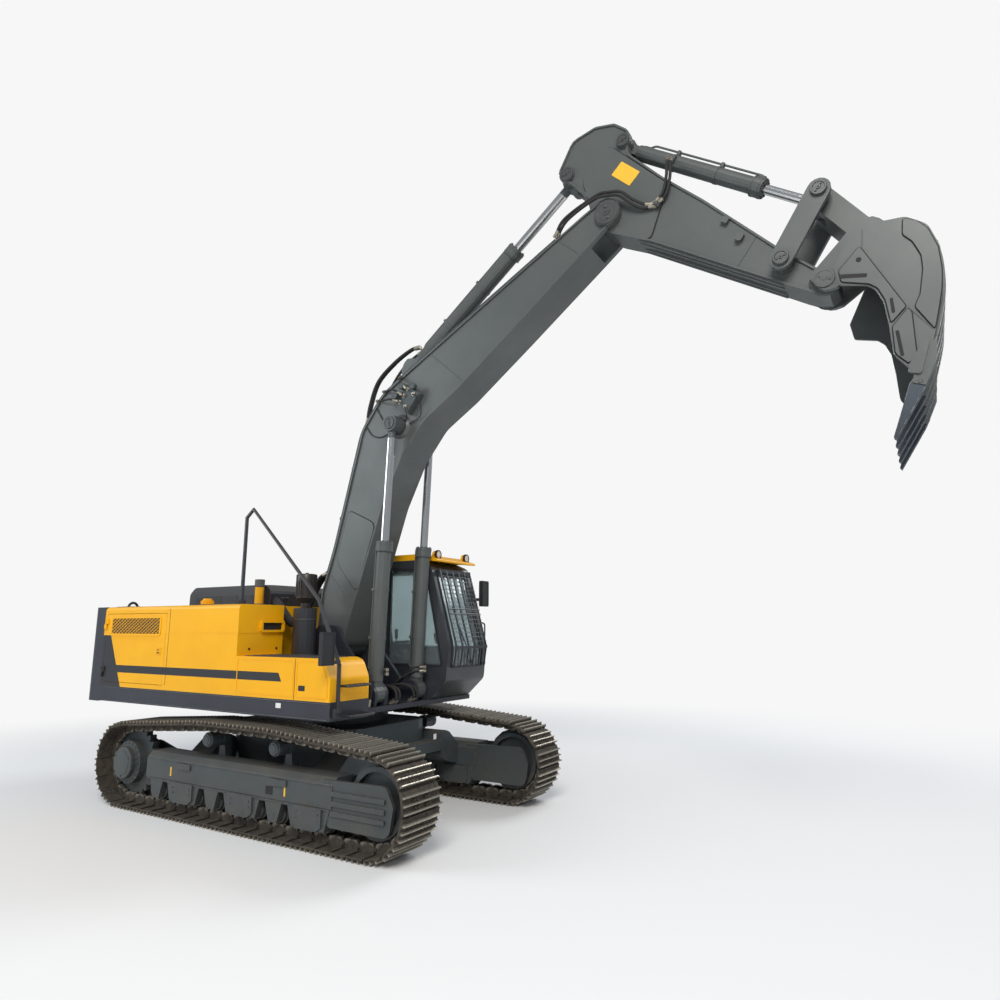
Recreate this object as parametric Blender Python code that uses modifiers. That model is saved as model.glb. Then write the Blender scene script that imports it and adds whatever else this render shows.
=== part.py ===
"""A crawler excavator of the 38 tonne class, as separate closed solids.

Metres, +Z up, +X forward, +Y to the machine's left. The ground is z = 0 and the origin lies on it, below the
middle of the whole machine. The undercarriage, the boom, the arm and the bucket each have their own frame,
an empty on their joint's axis, and their pieces are modelled there.
"""
import math

import bmesh
import bpy
import numpy as np
from mathutils import Matrix, Vector

# Whole machine
AXIS_X = -1.965                 # swing axis, from the middle of the machine at rest
FIT = 0.0003                    # between pieces that touch
PIN_GAP = 0.0005                # between an eye's cheek and its neighbour
CLEAR = 0.006                   # between panels that move
OVERRUN = 0.4                   # how far a cutter passes through what it cuts
SINK = 0.012                    # how deep fused pieces reach into each other
MERGE = 0.00002                 # points closer than this are one

# Tracks
TUMBLER = 4.34                  # sprocket axle to idler axle
LOOP_RADIUS = 0.54              # axle to the tips of the grousers, and so the axle's height
GAUGE = 2.74                    # middle of one track to middle of the other
SHOE_WIDTH = 0.60
SHOE_COUNT = 52
SHOE_PITCH = 0.22               # pin to pin
SHOE_PLATE = 0.020
GROUSER = 0.036
GROUSER_SHARES = (0.02, 0.36, 0.70)        # of the pitch, where each ridge has its tip
VALLEY_SHARES = (0.19, 0.53, 0.90)         # of the pitch, the floor behind each ridge
LINK_OUT = 0.046                # pin line out to the shoe
LINK_IN = 0.050                 # pin line in to the face that the rollers run on
LINK_ROW = 0.066                # middle of the track to a row of links, inner side
LINK_THICK = 0.045
SPROCKET_TEETH = 25
TOOTH_RISE = 0.010              # above the pin line
TOOTH_ROOT = 0.050              # below the pin line
SPROCKET_THICK = 0.090
HUB_RADIUS = 0.205              # cover of the final drive
HUB_REACH = 0.235               # cover's face, out from the middle of the track
DRIVE_RADIUS = 0.275
DRIVE_REACH = 0.150
IDLER_FLANGE = 0.044            # above the tread, between the link rows
IDLER_WEB = 0.050
IDLER_HUB = 0.10
AXLE_RADIUS = 0.05
ROLLER_RADIUS = 0.100
ROLLER_COUNT = 9
ROLLER_FIRST = -1.44            # from the middle of the track
ROLLER_STEP = 0.362
COLLAR_HALF = 0.185             # half the length of a roller with its collars
COLLAR_BOX = 0.066              # half the width of a collar
CARRIER_PLACES = (-0.58, 0.62)  # along the track
CARRIER_RADIUS = 0.086
CARRIER_HEIGHT = 0.945
CARRIER_SLACK = 0.012           # chords cut the corner over a small roller

# Track frames
FRAME_TOP = 0.735
FRAME_LOW = 0.405
FRAME_SHOULDER = 0.665
FRAME_HALF = 0.200
FRAME_CROWN = 0.120
FRAME_REAR = -1.66
FRAME_FRONT = 1.62
YOKE_THICK = 0.045
YOKE_IN = 0.145                 # yoke plates, out from the middle of the track
YOKE_FRONT = 2.45
YOKE_LOW = 0.245
RIB_RISE = 0.022
GUARD_LENGTH = 0.42
GUARD_LOW = 0.185
GUARD_THICK = 0.028
GUARD_PLACES = (-0.90, 0.19, 1.28)

# Car body and slewing ring
LEG_HALF = 0.20                 # half a leg's width where it meets the track frame
LEG_PLACE = 1.12                # legs, fore and aft of the swing axis
HUB_BLOCK_HALF = 0.78
BELLY = 0.56
BODY_TOP = 1.10
LEG_LOW = 0.44
LEG_TOP = 0.715
RING_RADIUS = 0.74
RING_LOW = 1.14
RING_TOP = 1.29
RING_STEP = 0.045

# Upper structure
DECK_LOW = 1.29
DECK_TOP = 1.35
SKIRT_TOP = 1.495
HALF_WIDTH = 1.49
TAIL = 3.62                     # swing axis back to the counterweight's rear face
BALLAST_FRONT = -3.11
BALLAST_TOP = 2.60
BALLAST_LOW = 1.28
TOOLBOX_FRONT = 1.46
DECK_FRONT = 1.28
CAB_DECK_FRONT = 1.30
SKIRT_THICK = 0.035
HOUSE_FRONT = -0.42
HOUSE_TOP = 2.60
PANEL = 0.040
TANK_REAR = -1.55
TANK_FRONT = -0.15
TANK_INSIDE = -0.78
TOOLBOX_INSIDE = -0.86
TOOLBOX_TOP = 1.965
DOOR_LOW = 1.555
DOOR_TOP = 2.50
HOOD_REAR = -2.42
HOOD_FRONT = -0.62
HOOD_HALF = 0.62
HOOD_RISE = 0.30
CORNER = 0.05                   # rounding of the sheet metal's long edges

# Cab
CAB_RIGHT = 0.53
CAB_INSET = 0.02                # cab's left side, in from the deck's edge
CAB_LEFT = HALF_WIDTH - CAB_INSET
CAB_WALL = 0.05
GLASS = 0.008

# Working equipment, side view: (x, z) from the swing axis
FOOT = (0.20, 2.12)             # boom foot pin
RAM_FOOT = (1.15, 1.49)         # boom cylinders' foot pin
BOOM_LENGTH = 6.50
ARM_LENGTH = 2.65
BOOM_ANGLE = 50.0               # of the pin line above level, degrees
ARM_TURN = -83.0                # arm's pin line from the boom's
BUCKET_TURN = -43.0             # line from bucket pin to teeth, from the arm's pin line
BOOM_HALF = 0.270
BOOM_FOOT_RADIUS = 0.19
BOOM_TIP_RADIUS = 0.20
FORK_GAP = 0.205                # half the slot that takes the arm
FORK_BACK = 0.42                # slot's floor, back from the tip pin
BOOM_LIP = 0.022                # how far top and bottom plates stand out past the side plates
BOOM_PIN = (2.90, 0.98)         # boom cylinders' rod pin, in the boom's frame
ARM_RAM_BASE = (3.62, 1.53)     # arm cylinder's base pin, in the boom's frame
ARM_HALF = 0.195
ARM_LIP = 0.018
ARM_RAM_PIN = (-0.86, 0.33)     # arm cylinder's rod pin, in the arm's frame
BUCKET_RAM_BASE = (-0.33, 0.88) # bucket cylinder's base pin, in the arm's frame
ROCKER_BACK = 0.46              # rocker pin, back from the bucket pin
ROCKER_UP = 0.04
ROCKER_LENGTH = 0.74
LINK_LENGTH = 0.645
EAR_REACH = 0.56                # bucket pin to the link's pin on the bucket
EAR_TURN = 119.7                # that line, from the line to the teeth

# Cylinders: bore side radius, rod radius, eye radius, half the eye's width
BOOM_RAM = (0.092, 0.0525, 0.115, 0.072)
ARM_RAM = (0.102, 0.060, 0.125, 0.066)
BUCKET_RAM = (0.090, 0.0525, 0.110, 0.066)
BOOM_RAM_CLOSED = 2.062
ARM_RAM_CLOSED = 2.43
BUCKET_RAM_CLOSED = 1.98
GLAND_BACK = 0.150              # gland's face, back from the rod eye when closed
GLAND_LENGTH = 0.13
GLAND_RISE = 0.018
ROD_GRIP = 0.10                 # rod left inside the barrel when it is fully out
BARREL_NECK = 0.050             # barrel's end, past its eye
BLIND = 0.030                   # floor of the bore
ARM_GLAND_BACK = 0.32

RAM_MIDDLE = 0.410              # boom cylinders, out from the machine's middle
BRACKET_IN = 0.283              # boom foot brackets, inner faces
BRACKET_THICK = 0.0545

BUCKET_HALF = 0.72
BUCKET_WALL = 0.030
EAR_IN = 0.205
EAR_THICK = 0.060
ROCKER_IN = 0.285
ROCKER_THICK = 0.058
LINK_IN_HALF = 0.078            # inner faces of the link's fork
LINK_HALF = 0.198
TOOTH_COUNT = 5
TOOTH_LENGTH = 0.40
TOOTH_HALF = 0.055

# Outlines in the side view: (x, z, rounding). Upper structure and cab from the swing axis
BRACKET_OUTLINE = ((-0.38, 1.33, 0), (-0.12, 2.10, 0.15), (0.03, 2.34, 0.12), (0.38, 2.34, 0.12), (0.50, 2.14, 0.2),
                   (0.98, 1.63, 0.08), (1.20, 1.62, 0.10), (1.27, 1.50, 0.10), (1.24, 1.33, 0))
CAB_OUTLINE = ((-0.34, 1.3503, 0), (1.29, 1.3503, 0.04), (1.56, 1.60, 0.10), (1.60, 2.05, 0.4), (1.28, 3.16, 0.14),
               (1.06, 3.25, 0.10), (-0.26, 3.25, 0.10), (-0.34, 3.15, 0.06))
CAP_OUTLINE = ((-0.36, 3.2503, 0), (1.10, 3.2503, 0), (1.38, 3.22, 0), (1.39, 3.25, 0.02), (1.12, 3.335, 0.06),
               (-0.28, 3.335, 0.05), (-0.36, 3.29, 0.05))
DOOR_OUTLINE = ((0.36, 1.43, 0.05), (1.24, 1.43, 0.05), (1.46, 1.66, 0.08), (1.50, 2.06, 0.3), (1.20, 3.10, 0.08),
                (0.36, 3.13, 0.05))
DOOR_GLASS = ((0.44, 2.02, 0.05), (1.44, 2.02, 0.04), (1.17, 3.04, 0.05), (0.44, 3.06, 0.05))
SIDE_GLASS_FRONT = ((0.56, 1.80, 0.05), (1.50, 1.80, 0.04), (1.20, 3.10, 0.06), (0.56, 3.14, 0.05))
SIDE_GLASS_REAR = ((-0.24, 2.05, 0.05), (0.48, 2.05, 0.05), (0.48, 3.14, 0.05), (-0.24, 3.14, 0.05))
LEFT_GLASS = ((-0.24, 2.05, 0.05), (0.26, 2.05, 0.05), (0.26, 3.14, 0.05), (-0.24, 3.14, 0.05))
GUARD_OUTLINE = ((1.635, 1.78), (1.675, 2.05), (1.365, 3.12), (1.345, 3.115), (1.653, 2.05), (1.615, 1.78))
TOOLBOX_OUTLINE = ((-0.1497, 1.4953, 0), (1.45, 1.4953, 0), (1.45, 1.74, 0.12), (1.36, 1.93, 0.12), (1.26, 1.965, 0.06),
                   (-0.1497, 1.965, 0))
HOOD_OUTLINE = ((-2.42, 2.6003, 0), (-0.62, 2.6003, 0), (-0.62, 2.82, 0.08), (-0.74, 2.90, 0.12), (-2.30, 2.90, 0.12),
                (-2.42, 2.80, 0.08))
BALLAST_SIDE = ((-3.11, 1.28, 0), (-3.55, 1.28, 0.06), (-3.64, 1.40, 0.10), (-3.64, 2.40, 0.12), (-3.56, 2.60, 0.08),
                (-3.11, 2.60, 0))
BALLAST_PLAN = ((-3.11, -1.49, 0), (-3.40, -1.49, 0.16), (-3.60, -1.05, 0.35), (-3.62, 0, 1.5), (-3.60, 1.05, 0.35),
                (-3.40, 1.49, 0.16), (-3.11, 1.49, 0))
SEAT_OUTLINE = ((0.10, 1.4006, 0), (0.50, 1.4006, 0), (0.46, 1.78, 0.03), (0.66, 1.84, 0.04), (0.66, 1.94, 0.05),
                (0.22, 1.94, 0.04), (0.04, 2.62, 0.05), (-0.09, 2.60, 0.05), (0.06, 1.82, 0.05))
# Boom, arm and bucket, each in its own frame
BOOM_OUTLINE = ((-0.17, -0.12, 0.14), (-0.14, 0.22, 0.20), (0.40, 0.59, 0.5), (0.93, 0.79, 0.6), (2.50, 1.52, 0.4),
                (3.08, 1.55, 0.4), (3.62, 1.35, 0.8), (4.42, 1.04, 0.8), (6.36, 0.28, 0.15), (6.68, 0.14, 0.16),
                (6.66, -0.16, 0.16), (6.07, -0.035, 0.4), (4.75, 0.26, 0.9), (3.73, 0.50, 0.8), (3.17, 0.68, 0.4),
                (2.61, 0.67, 0.4), (1.95, 0.51, 0.8), (0.12, -0.20, 0.14))
ARM_NOSE = 0.13                 # past the bucket pin
ARM_NECK = 0.15                 # back from the bucket pin, where the nose begins
ARM_TAPER = 0.53                # back from the bucket pin, where the top's taper ends
ARM_OUTLINE = ((-1.00, 0.30, 0.08), (-1.03, 0.74, 0.14), (-0.81, 0.97, 0.14), (-0.57, 1.06, 0.10), (-0.33, 1.02, 0.10),
               (-0.20, 0.76, 0.10), (0.40, 0.59, 0.6), (1.01, 0.46, 0.8), (ARM_LENGTH - ARM_TAPER, 0.17, 0.8),
               (ARM_LENGTH - ARM_NECK, 0.10, 0.2), (ARM_LENGTH + ARM_NOSE, 0.13, 0.12),
               (ARM_LENGTH + ARM_NOSE, -0.13, 0.12), (ARM_LENGTH - ARM_NECK, -0.14, 0.2), (0.69, -0.13, 0.6),
               (0.14, -0.18, 0.2), (-0.20, -0.10, 0.12), (-0.42, 0.15, 0.2))
RAM_LUG_OUTLINE = ((3.36, 1.38, 0), (3.47, 1.62, 0.12), (3.69, 1.67, 0.10), (3.74, 1.48, 0.06), (3.74, 1.20, 0))
BUCKET_BACK = ((-0.175, 0.372, 0), (-0.045, 0.585, 0.15), (0.005, 0.735, 0.12), (0.160, 0.855, 0.14),
               (0.400, 0.870, 0.25), (0.760, 0.765, 0.35), (1.100, 0.580, 0.40), (1.370, 0.4079, 0))
BUCKET_MOUTH = ((1.340, 0.361, 0), (1.300, 0.305, 0.04), (1.150, 0.245, 0.10), (0.882, 0.299, 0.10),
                (0.656, 0.332, 0.10), (0.522, 0.313, 0.08), (0.455, 0.270, 0.05), (0.345, 0.075, 0.03), (0.170, 0.088, 0))
BUCKET_HOLLOW_ENDS = ((1.90, 0.07, 0), (1.20, -0.50, 0), (-0.20, -0.50, 0), (-0.347, 0.090, 0))
EAR_OUTLINE = ((0.13, -0.06, 0.10), (0.14, 0.08, 0.06), (0.03, 0.38, 0.10), (0.06, 0.72, 0), (-0.02, 0.76, 0.04),
               (-0.20, 0.68, 0.12), (-0.40, 0.58, 0.12), (-0.40, 0.42, 0.10), (-0.14, -0.02, 0.06), (-0.10, -0.13, 0.08))
ADAPTER_OUTLINE = ((1.140, 0.580, 0), (1.290, 0.532, 0), (1.500, 0.372, 0), (1.440, 0.290, 0), (1.220, 0.400, 0))
TOOTH_OUTLINE = ((1.450, 0.412, 0), (1.520, 0.350, 0), (1.848, 0.022, 0), (1.828, 0.012, 0), (1.440, 0.270, 0),
                 (1.390, 0.335, 0))
CUTTER_OUTLINE = ((1.110, 0.500, 0), (1.150, 0.525, 0), (1.400, 0.372, 0.02), (1.345, 0.290, 0.02), (1.290, 0.315, 0))

# More of the upper structure
BODY_LOW = 1.4953               # house, tank and tool box stand on the skirts here
HOUSE_REAR = -3.10
REAR_DOOR = (-3.04, -1.62)      # side doors, rear edge and front edge
LEFT_REAR_DOOR = (-3.04, -1.92)
LEFT_MID_DOOR = (-1.84, -0.50)
DOOR_THICK = 0.035
KNUCKLE = 0.015                 # hinge barrels
KNUCKLE_OUT = 0.018             # their axis, out from the panel
KNUCKLE_LONG = 0.070
HINGE_SHARES = (0.15, 0.85)     # of a door's height
GRILLE_SHARES = (0.12, 0.88, 0.72, 0.92)   # of the door's length, start and end, and of its height
LOUVRE_COUNT = 4
ENGINE = ((-2.30, -0.50, 1.3503), (-0.95, 0.50, 2.40))
RADIATOR_GAP = 0.11             # in from the house's left side
RADIATOR = ((-2.95, 0.70, 1.3503), (-2.60, HALF_WIDTH - RADIATOR_GAP, 2.45))
INTAKE_PLACE = (0.14, -0.68)
INTAKE_RADIUS = 0.15
INTAKE_TOP = 2.56
CLEANER_RADIUS = 0.13
CLEANER_TOP = 3.00
EXHAUST_GAP = 0.08              # exhaust's middle, out from the lid
EXHAUST_PLACE = (-0.76, -HOOD_HALF - EXHAUST_GAP)
EXHAUST_TOP = 2.92
EXHAUST_RADIUS = 0.06
CAP_PLACE = (-1.30, -1.12)
CAP_RADIUS = 0.075
RAIL_RADIUS = 0.024
RAIL_INSET = 0.08               # rail's plane, in from the machine's right side
RAIL_SIDE = ((-0.22, 2.62), (-0.22, 3.70), (-0.10, 3.80), (0.88, 2.87), (1.14, 2.62), (1.50, 1.90), (1.50, 1.38))
MIRROR_NEAR = 0.03              # right mirror, out from the machine's side
MIRROR_FAR = 0.21
MIRROR_LOW = (1.47, -HALF_WIDTH - MIRROR_FAR, 1.90)
MIRROR_HIGH = (1.53, -HALF_WIDTH - MIRROR_NEAR, 2.26)
LEFT_MIRROR_NEAR = 0.08         # left mirror, out from the cab's side
LEFT_MIRROR_FAR = 0.25
LEFT_MIRROR_LOW = (1.42, CAB_LEFT + LEFT_MIRROR_NEAR, 2.62)
LEFT_MIRROR_HIGH = (1.48, CAB_LEFT + LEFT_MIRROR_FAR, 3.00)
MIRROR_ARM = ((1.335, CAB_LEFT + FIT, 2.70), (1.45, CAB_LEFT + LEFT_MIRROR_NEAR + CORNER, 2.74))
LAMP_RADIUS = 0.06
LAMP_DEPTH = 0.07
ROOF_PROUD = 0.02               # how far the roof cap stands out over the cab's left side
SEAT_SHARE = 0.2128             # half the seat's width, of the cab's width
CONSOLE_GAP = 0.05              # seat to console
CONSOLE_INSET = 0.11            # in from the cab's left side
CONSOLE_SIDE = ((0.14, 1.4006), (0.62, 1.98))
GUARD_BARS = 6
GUARD_FEET = (1.80, 3.04)       # heights of the guard's feet
GUARD_STANDOFF = 0.050
BAR_HALF = 0.008
PIN_HEAD = 0.020                # how far a pin's head stands out
HEAD_SHARE = 0.8                # a pin's head against the boss round it
EAR_HEAD_SHARE = 0.5
ARM_TIP_RADIUS = 0.125
ROCKER_BOSS = 0.10
ARM_SLOT_END = -0.62            # slot for the arm cylinder's eye, in the arm's frame
BASE_SLOT = (-0.52, 0.70, -0.10)   # slot for the bucket cylinder's base: x from, z from, x to
LINK_SLOT_END = 0.175
THROAT_RADIUS = 0.34            # room round the bucket pin for the arm's tip
BOOM_RAM_OPEN = 3.63
ARM_RAM_OPEN = 3.995
BUCKET_RAM_OPEN = 3.34
CAST_BLOCK = ((3.12, -0.335, 0.92), (3.44, -0.235, 1.20))
# Colours, roughness and metallic values
FINISHES = {
    "charcoal": ((0.050, 0.058, 0.062), 0.42, 0.1),
    "yellow": ((0.86, 0.47, 0.015), 0.35, 0.0),
    "steel": ((0.20, 0.19, 0.17), 0.55, 0.8),
    "chrome": ((0.80, 0.80, 0.80), 0.08, 1.0),
    "black": ((0.022, 0.023, 0.025), 0.6, 0.0),
    "glass": ((0.30, 0.36, 0.36), 0.06, 0.0),
    "seat": ((0.045, 0.045, 0.05), 0.85, 0.0),
    "engine": ((0.18, 0.18, 0.18), 0.6, 0.4),
    "lamp": ((0.85, 0.85, 0.82), 0.2, 0.0),
}

for old in list(bpy.data.objects):
    bpy.data.objects.remove(old, do_unlink=True)
parts = bpy.data.collections.new("crawler_excavator")
bpy.context.scene.collection.children.link(parts)

# How a flat outline's (u, v, thickness) lie in the object's own axes
LAYS = {
    "side": Matrix(((1, 0, 0), (0, 0, -1), (0, 1, 0))).to_4x4(),
    "plan": Matrix.Identity(4),
    "front": Matrix(((0, 0, 1), (1, 0, 0), (0, 1, 0))).to_4x4(),
}


def solid(mesh, at=None):
    """An object for a mesh, with its normals pointing out and its doubles welded."""
    work = bmesh.new()
    work.from_mesh(mesh)
    bmesh.ops.remove_doubles(work, verts=work.verts, dist=MERGE)
    bmesh.ops.recalc_face_normals(work, faces=work.faces)
    work.to_mesh(mesh)
    work.free()
    if at is not None:
        mesh.transform(at)
    made = bpy.data.objects.new("work", mesh)
    parts.objects.link(made)
    return made


def evaluated(thing):
    """The mesh that an object's modifiers or curve settings make."""
    graph = bpy.context.evaluated_depsgraph_get()
    return bpy.data.meshes.new_from_object(thing.evaluated_get(graph))


def rounded(corners, steps=3):
    """Points of an outline whose corners (u, v, radius) are filleted; radius 0 keeps a corner sharp."""
    points = []
    for i, (u, v, radius) in enumerate(corners):
        here = Vector((u, v))
        back = Vector(corners[i - 1][:2]) - here
        ahead = Vector(corners[(i + 1) % len(corners)][:2]) - here
        if radius <= 0:
            points.append(tuple(here))
            continue
        half = back.angle(ahead) / 2
        reach = min(radius / math.tan(half), back.length / 2, ahead.length / 2)
        radius = reach * math.tan(half)
        middle = here + (back.normalized() + ahead.normalized()).normalized() * (radius / math.sin(half))
        first = here + back.normalized() * reach - middle
        last = here + ahead.normalized() * reach - middle
        turn = first.angle_signed(last)
        for k in range(steps + 1):
            arm = first.copy()
            arm.rotate(Matrix.Rotation(-turn * k / steps, 2))
            points.append(tuple(middle + arm))
    return points


def ring(centre, radius, sides, start=0.0):
    """Points round a circle."""
    turns = [start + 2 * math.pi * k / sides for k in range(sides)]
    return [(centre[0] + radius * math.cos(a), centre[1] + radius * math.sin(a)) for a in turns]


def inset(points, depth):
    """A closed outline moved inwards by depth, its corners kept as mitres."""
    loop = [Vector(p) for p in points]
    area = sum(a.x * b.y - b.x * a.y for a, b in zip(loop, loop[1:] + loop[:1]))
    side = 1 if area > 0 else -1
    moved = []
    for i, here in enumerate(loop):
        into = (here - loop[i - 1]).normalized()
        out = (loop[(i + 1) % len(loop)] - here).normalized()
        normal_in = Vector((-into.y, into.x)) * side
        normal_out = Vector((-out.y, out.x)) * side
        mitre = normal_in + normal_out
        moved.append(tuple(here + mitre * (depth * 2 / max(mitre.length_squared, 1e-9))))
    return moved


def prism(points, low, high, lay="side", holes=()):
    """A flat outline, with holes if any, carried from low to high across its plane."""
    work = bmesh.new()
    face = work.faces.new([work.verts.new((u, v, low)) for u, v in points])
    grown = bmesh.ops.extrude_face_region(work, geom=[face])["geom"]
    far = [item for item in grown if isinstance(item, bmesh.types.BMVert)]
    bmesh.ops.translate(work, vec=(0, 0, high - low), verts=far)
    mesh = bpy.data.meshes.new("outline")
    # the lay "side" looks along +Y, so its thickness runs the other way
    if lay == "side":
        bmesh.ops.scale(work, vec=(1, 1, -1), verts=work.verts)
    work.to_mesh(mesh)
    work.free()
    made = solid(mesh, LAYS[lay])
    if holes:
        carve(made, *[prism(hole, low - OVERRUN, high + OVERRUN, lay) for hole in holes])
    return made


def block(low, high, bevel=0.0):
    """A box between two corners, its edges rounded by bevel."""
    work = bmesh.new()
    bmesh.ops.create_cube(work, size=1)
    size = Vector(high) - Vector(low)
    bmesh.ops.scale(work, vec=size, verts=work.verts)
    bmesh.ops.translate(work, vec=(Vector(low) + Vector(high)) / 2, verts=work.verts)
    if bevel:
        bmesh.ops.bevel(work, geom=work.edges[:], offset=bevel, segments=2, profile=0.5, affect="EDGES")
    mesh = bpy.data.meshes.new("block")
    work.to_mesh(mesh)
    work.free()
    return solid(mesh)


AXES = {"X": Matrix.Rotation(math.pi / 2, 4, "Y"), "Y": Matrix.Rotation(-math.pi / 2, 4, "X"), "Z": Matrix.Identity(4)}


def drum(foot, length, radius, axis="Y", sides=16, top=None):
    """A cylinder, or a cone with another top radius, that runs from its foot along an axis."""
    work = bmesh.new()
    bmesh.ops.create_cone(work, cap_ends=True, segments=sides, radius1=radius,
                          radius2=radius if top is None else top, depth=length)
    bmesh.ops.translate(work, vec=(0, 0, length / 2), verts=work.verts)
    mesh = bpy.data.meshes.new("drum")
    work.to_mesh(mesh)
    work.free()
    return solid(mesh, Matrix.Translation(Vector(foot)) @ AXES[axis])


def turned(profile, centre, axis="Y", sides=20):
    """A profile of (radius, height) pairs, from axis to axis, turned by a Screw modifier."""
    mesh = bpy.data.meshes.new("profile")
    mesh.from_pydata([(r, 0, h) for r, h in profile], [(i, i + 1) for i in range(len(profile) - 1)], [])
    spun = bpy.data.objects.new("profile", mesh)
    parts.objects.link(spun)
    screw = spun.modifiers.new("turn", "SCREW")
    screw.steps = screw.render_steps = sides
    screw.use_merge_vertices = True
    screw.merge_threshold = MERGE
    done = evaluated(spun)
    bpy.data.objects.remove(spun, do_unlink=True)
    return solid(done, Matrix.Translation(Vector(centre)) @ AXES[axis])


def tube(points, radius, sides=8):
    """A round bar along a run of points."""
    curve = bpy.data.curves.new("run", "CURVE")
    curve.dimensions = "3D"
    curve.bevel_depth = radius
    curve.bevel_resolution = (sides - 4) // 2
    curve.use_fill_caps = True
    spline = curve.splines.new("POLY")
    spline.points.add(len(points) - 1)
    for point, place in zip(spline.points, points):
        point.co = (*place, 1)
    bar = bpy.data.objects.new("run", curve)
    parts.objects.link(bar)
    mesh = evaluated(bar)
    bpy.data.objects.remove(bar, do_unlink=True)
    return solid(mesh)


def combine(base, others, operation):
    """One Boolean after another on base; the other objects are used up."""
    for other in others:
        step = base.modifiers.new("step", "BOOLEAN")
        step.operation = operation
        step.solver = "EXACT"
        step.object = other
    base.data = evaluated(base)
    base.modifiers.clear()
    work = bmesh.new()
    work.from_mesh(base.data)
    bmesh.ops.remove_doubles(work, verts=work.verts, dist=MERGE)
    bmesh.ops.dissolve_degenerate(work, edges=work.edges, dist=MERGE)
    work.to_mesh(base.data)
    work.free()
    for other in others:
        bpy.data.objects.remove(other, do_unlink=True)
    return base


def fuse(base, *others):
    return combine(base, others, "UNION")


def carve(base, *others):
    return combine(base, others, "DIFFERENCE")


def common(base, *others):
    return combine(base, others, "INTERSECT")


def twin(thing):
    """A copy of an object with its own mesh."""
    made = bpy.data.objects.new("work", thing.data.copy())
    parts.objects.link(made)
    return made


def mirrored(thing):
    """A copy on the machine's other side."""
    made = twin(thing)
    made.data.transform(Matrix.Scale(-1, 4, (0, 1, 0)))
    made.data.flip_normals()
    return made


def shifted(thing, by):
    thing.data.transform(Matrix.Translation(Vector(by)))
    return thing


def material(slot):
    """The part's paint or metal, made once."""
    if slot in bpy.data.materials:
        return bpy.data.materials[slot]
    colour, roughness, metallic = FINISHES[slot]
    made = bpy.data.materials.new(slot)
    made.use_nodes = True
    shader = made.node_tree.nodes["Principled BSDF"]
    shader.inputs["Base Color"].default_value = (*colour, 1)
    shader.inputs["Roughness"].default_value = roughness
    shader.inputs["Metallic"].default_value = metallic
    return made


def frame(name, parent, place, turn=0.0, axis="Y"):
    """An empty on a joint's axis; turn is in degrees, positive lifts the +X end."""
    empty = bpy.data.objects.new(name, None)
    parts.objects.link(empty)
    empty.parent = parent
    empty.location = place
    if axis == "Y":
        empty.rotation_euler = (0, -math.radians(turn), 0)
    return empty


def keep(thing, name, slot, home, smooth=30.0):
    """Names a finished piece, paints it and hangs it in its own frame."""
    thing.name = name
    thing.data.name = name
    thing.data.materials.clear()
    thing.data.materials.append(material(slot))
    thing.data.shade_smooth()
    thing.data.set_sharp_from_angle(angle=math.radians(smooth))
    thing.parent = home
    return thing


def spun(point, degrees):
    """A point of the side view turned about the origin, positive lifts +X."""
    a = math.radians(degrees)
    return (point[0] * math.cos(a) - point[1] * math.sin(a), point[0] * math.sin(a) + point[1] * math.cos(a))


def meet(one, reach_one, two, reach_two):
    """Where two bars from points one and two meet, to the left of the line from one to two."""
    a, b = Vector(one), Vector(two)
    gap = (b - a).length
    along = (reach_one ** 2 - reach_two ** 2 + gap ** 2) / (2 * gap)
    aside = math.sqrt(max(reach_one ** 2 - along ** 2, 0))
    way = (b - a) / gap
    spot = a + way * along + Vector((-way.y, way.x)) * aside
    return (spot.x, spot.y)


def heading(start, end):
    """Direction and length from start to end: degrees above +X, metres."""
    way = Vector(end) - Vector(start)
    return math.degrees(math.atan2(way.y, way.x)), way.length


# Frames
machine = frame("machine", None, (AXIS_X, 0, 0))
upper = frame("upper_frame", machine, (0, 0, 0))
boom = frame("boom_frame", upper, (FOOT[0], 0, FOOT[1]), BOOM_ANGLE)
arm = frame("arm_frame", boom, (BOOM_LENGTH, 0, 0), ARM_TURN)
bucket = frame("bucket_frame", arm, (ARM_LENGTH, 0, 0), BUCKET_TURN)

ROCKER_PIN = (ARM_LENGTH - ROCKER_BACK, ROCKER_UP)
EAR_IN_ARM = Vector(spun((EAR_REACH, 0), BUCKET_TURN + EAR_TURN)) + Vector((ARM_LENGTH, 0))
ROCKER_TOP = meet(ROCKER_PIN, ROCKER_LENGTH, EAR_IN_ARM, LINK_LENGTH)
rocker = frame("rocker_frame", arm, (ROCKER_PIN[0], 0, ROCKER_PIN[1]), heading(ROCKER_PIN, ROCKER_TOP)[0])
link_turn = heading(ROCKER_TOP, EAR_IN_ARM)[0] - heading(ROCKER_PIN, ROCKER_TOP)[0]
link = frame("link_frame", rocker, (ROCKER_LENGTH, 0, 0), link_turn)

BOOM_PIN_IN_UPPER = Vector(spun(BOOM_PIN, BOOM_ANGLE)) + Vector(FOOT)
ARM_PIN_IN_BOOM = Vector(spun(ARM_RAM_PIN, ARM_TURN)) + Vector((BOOM_LENGTH, 0))


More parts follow.
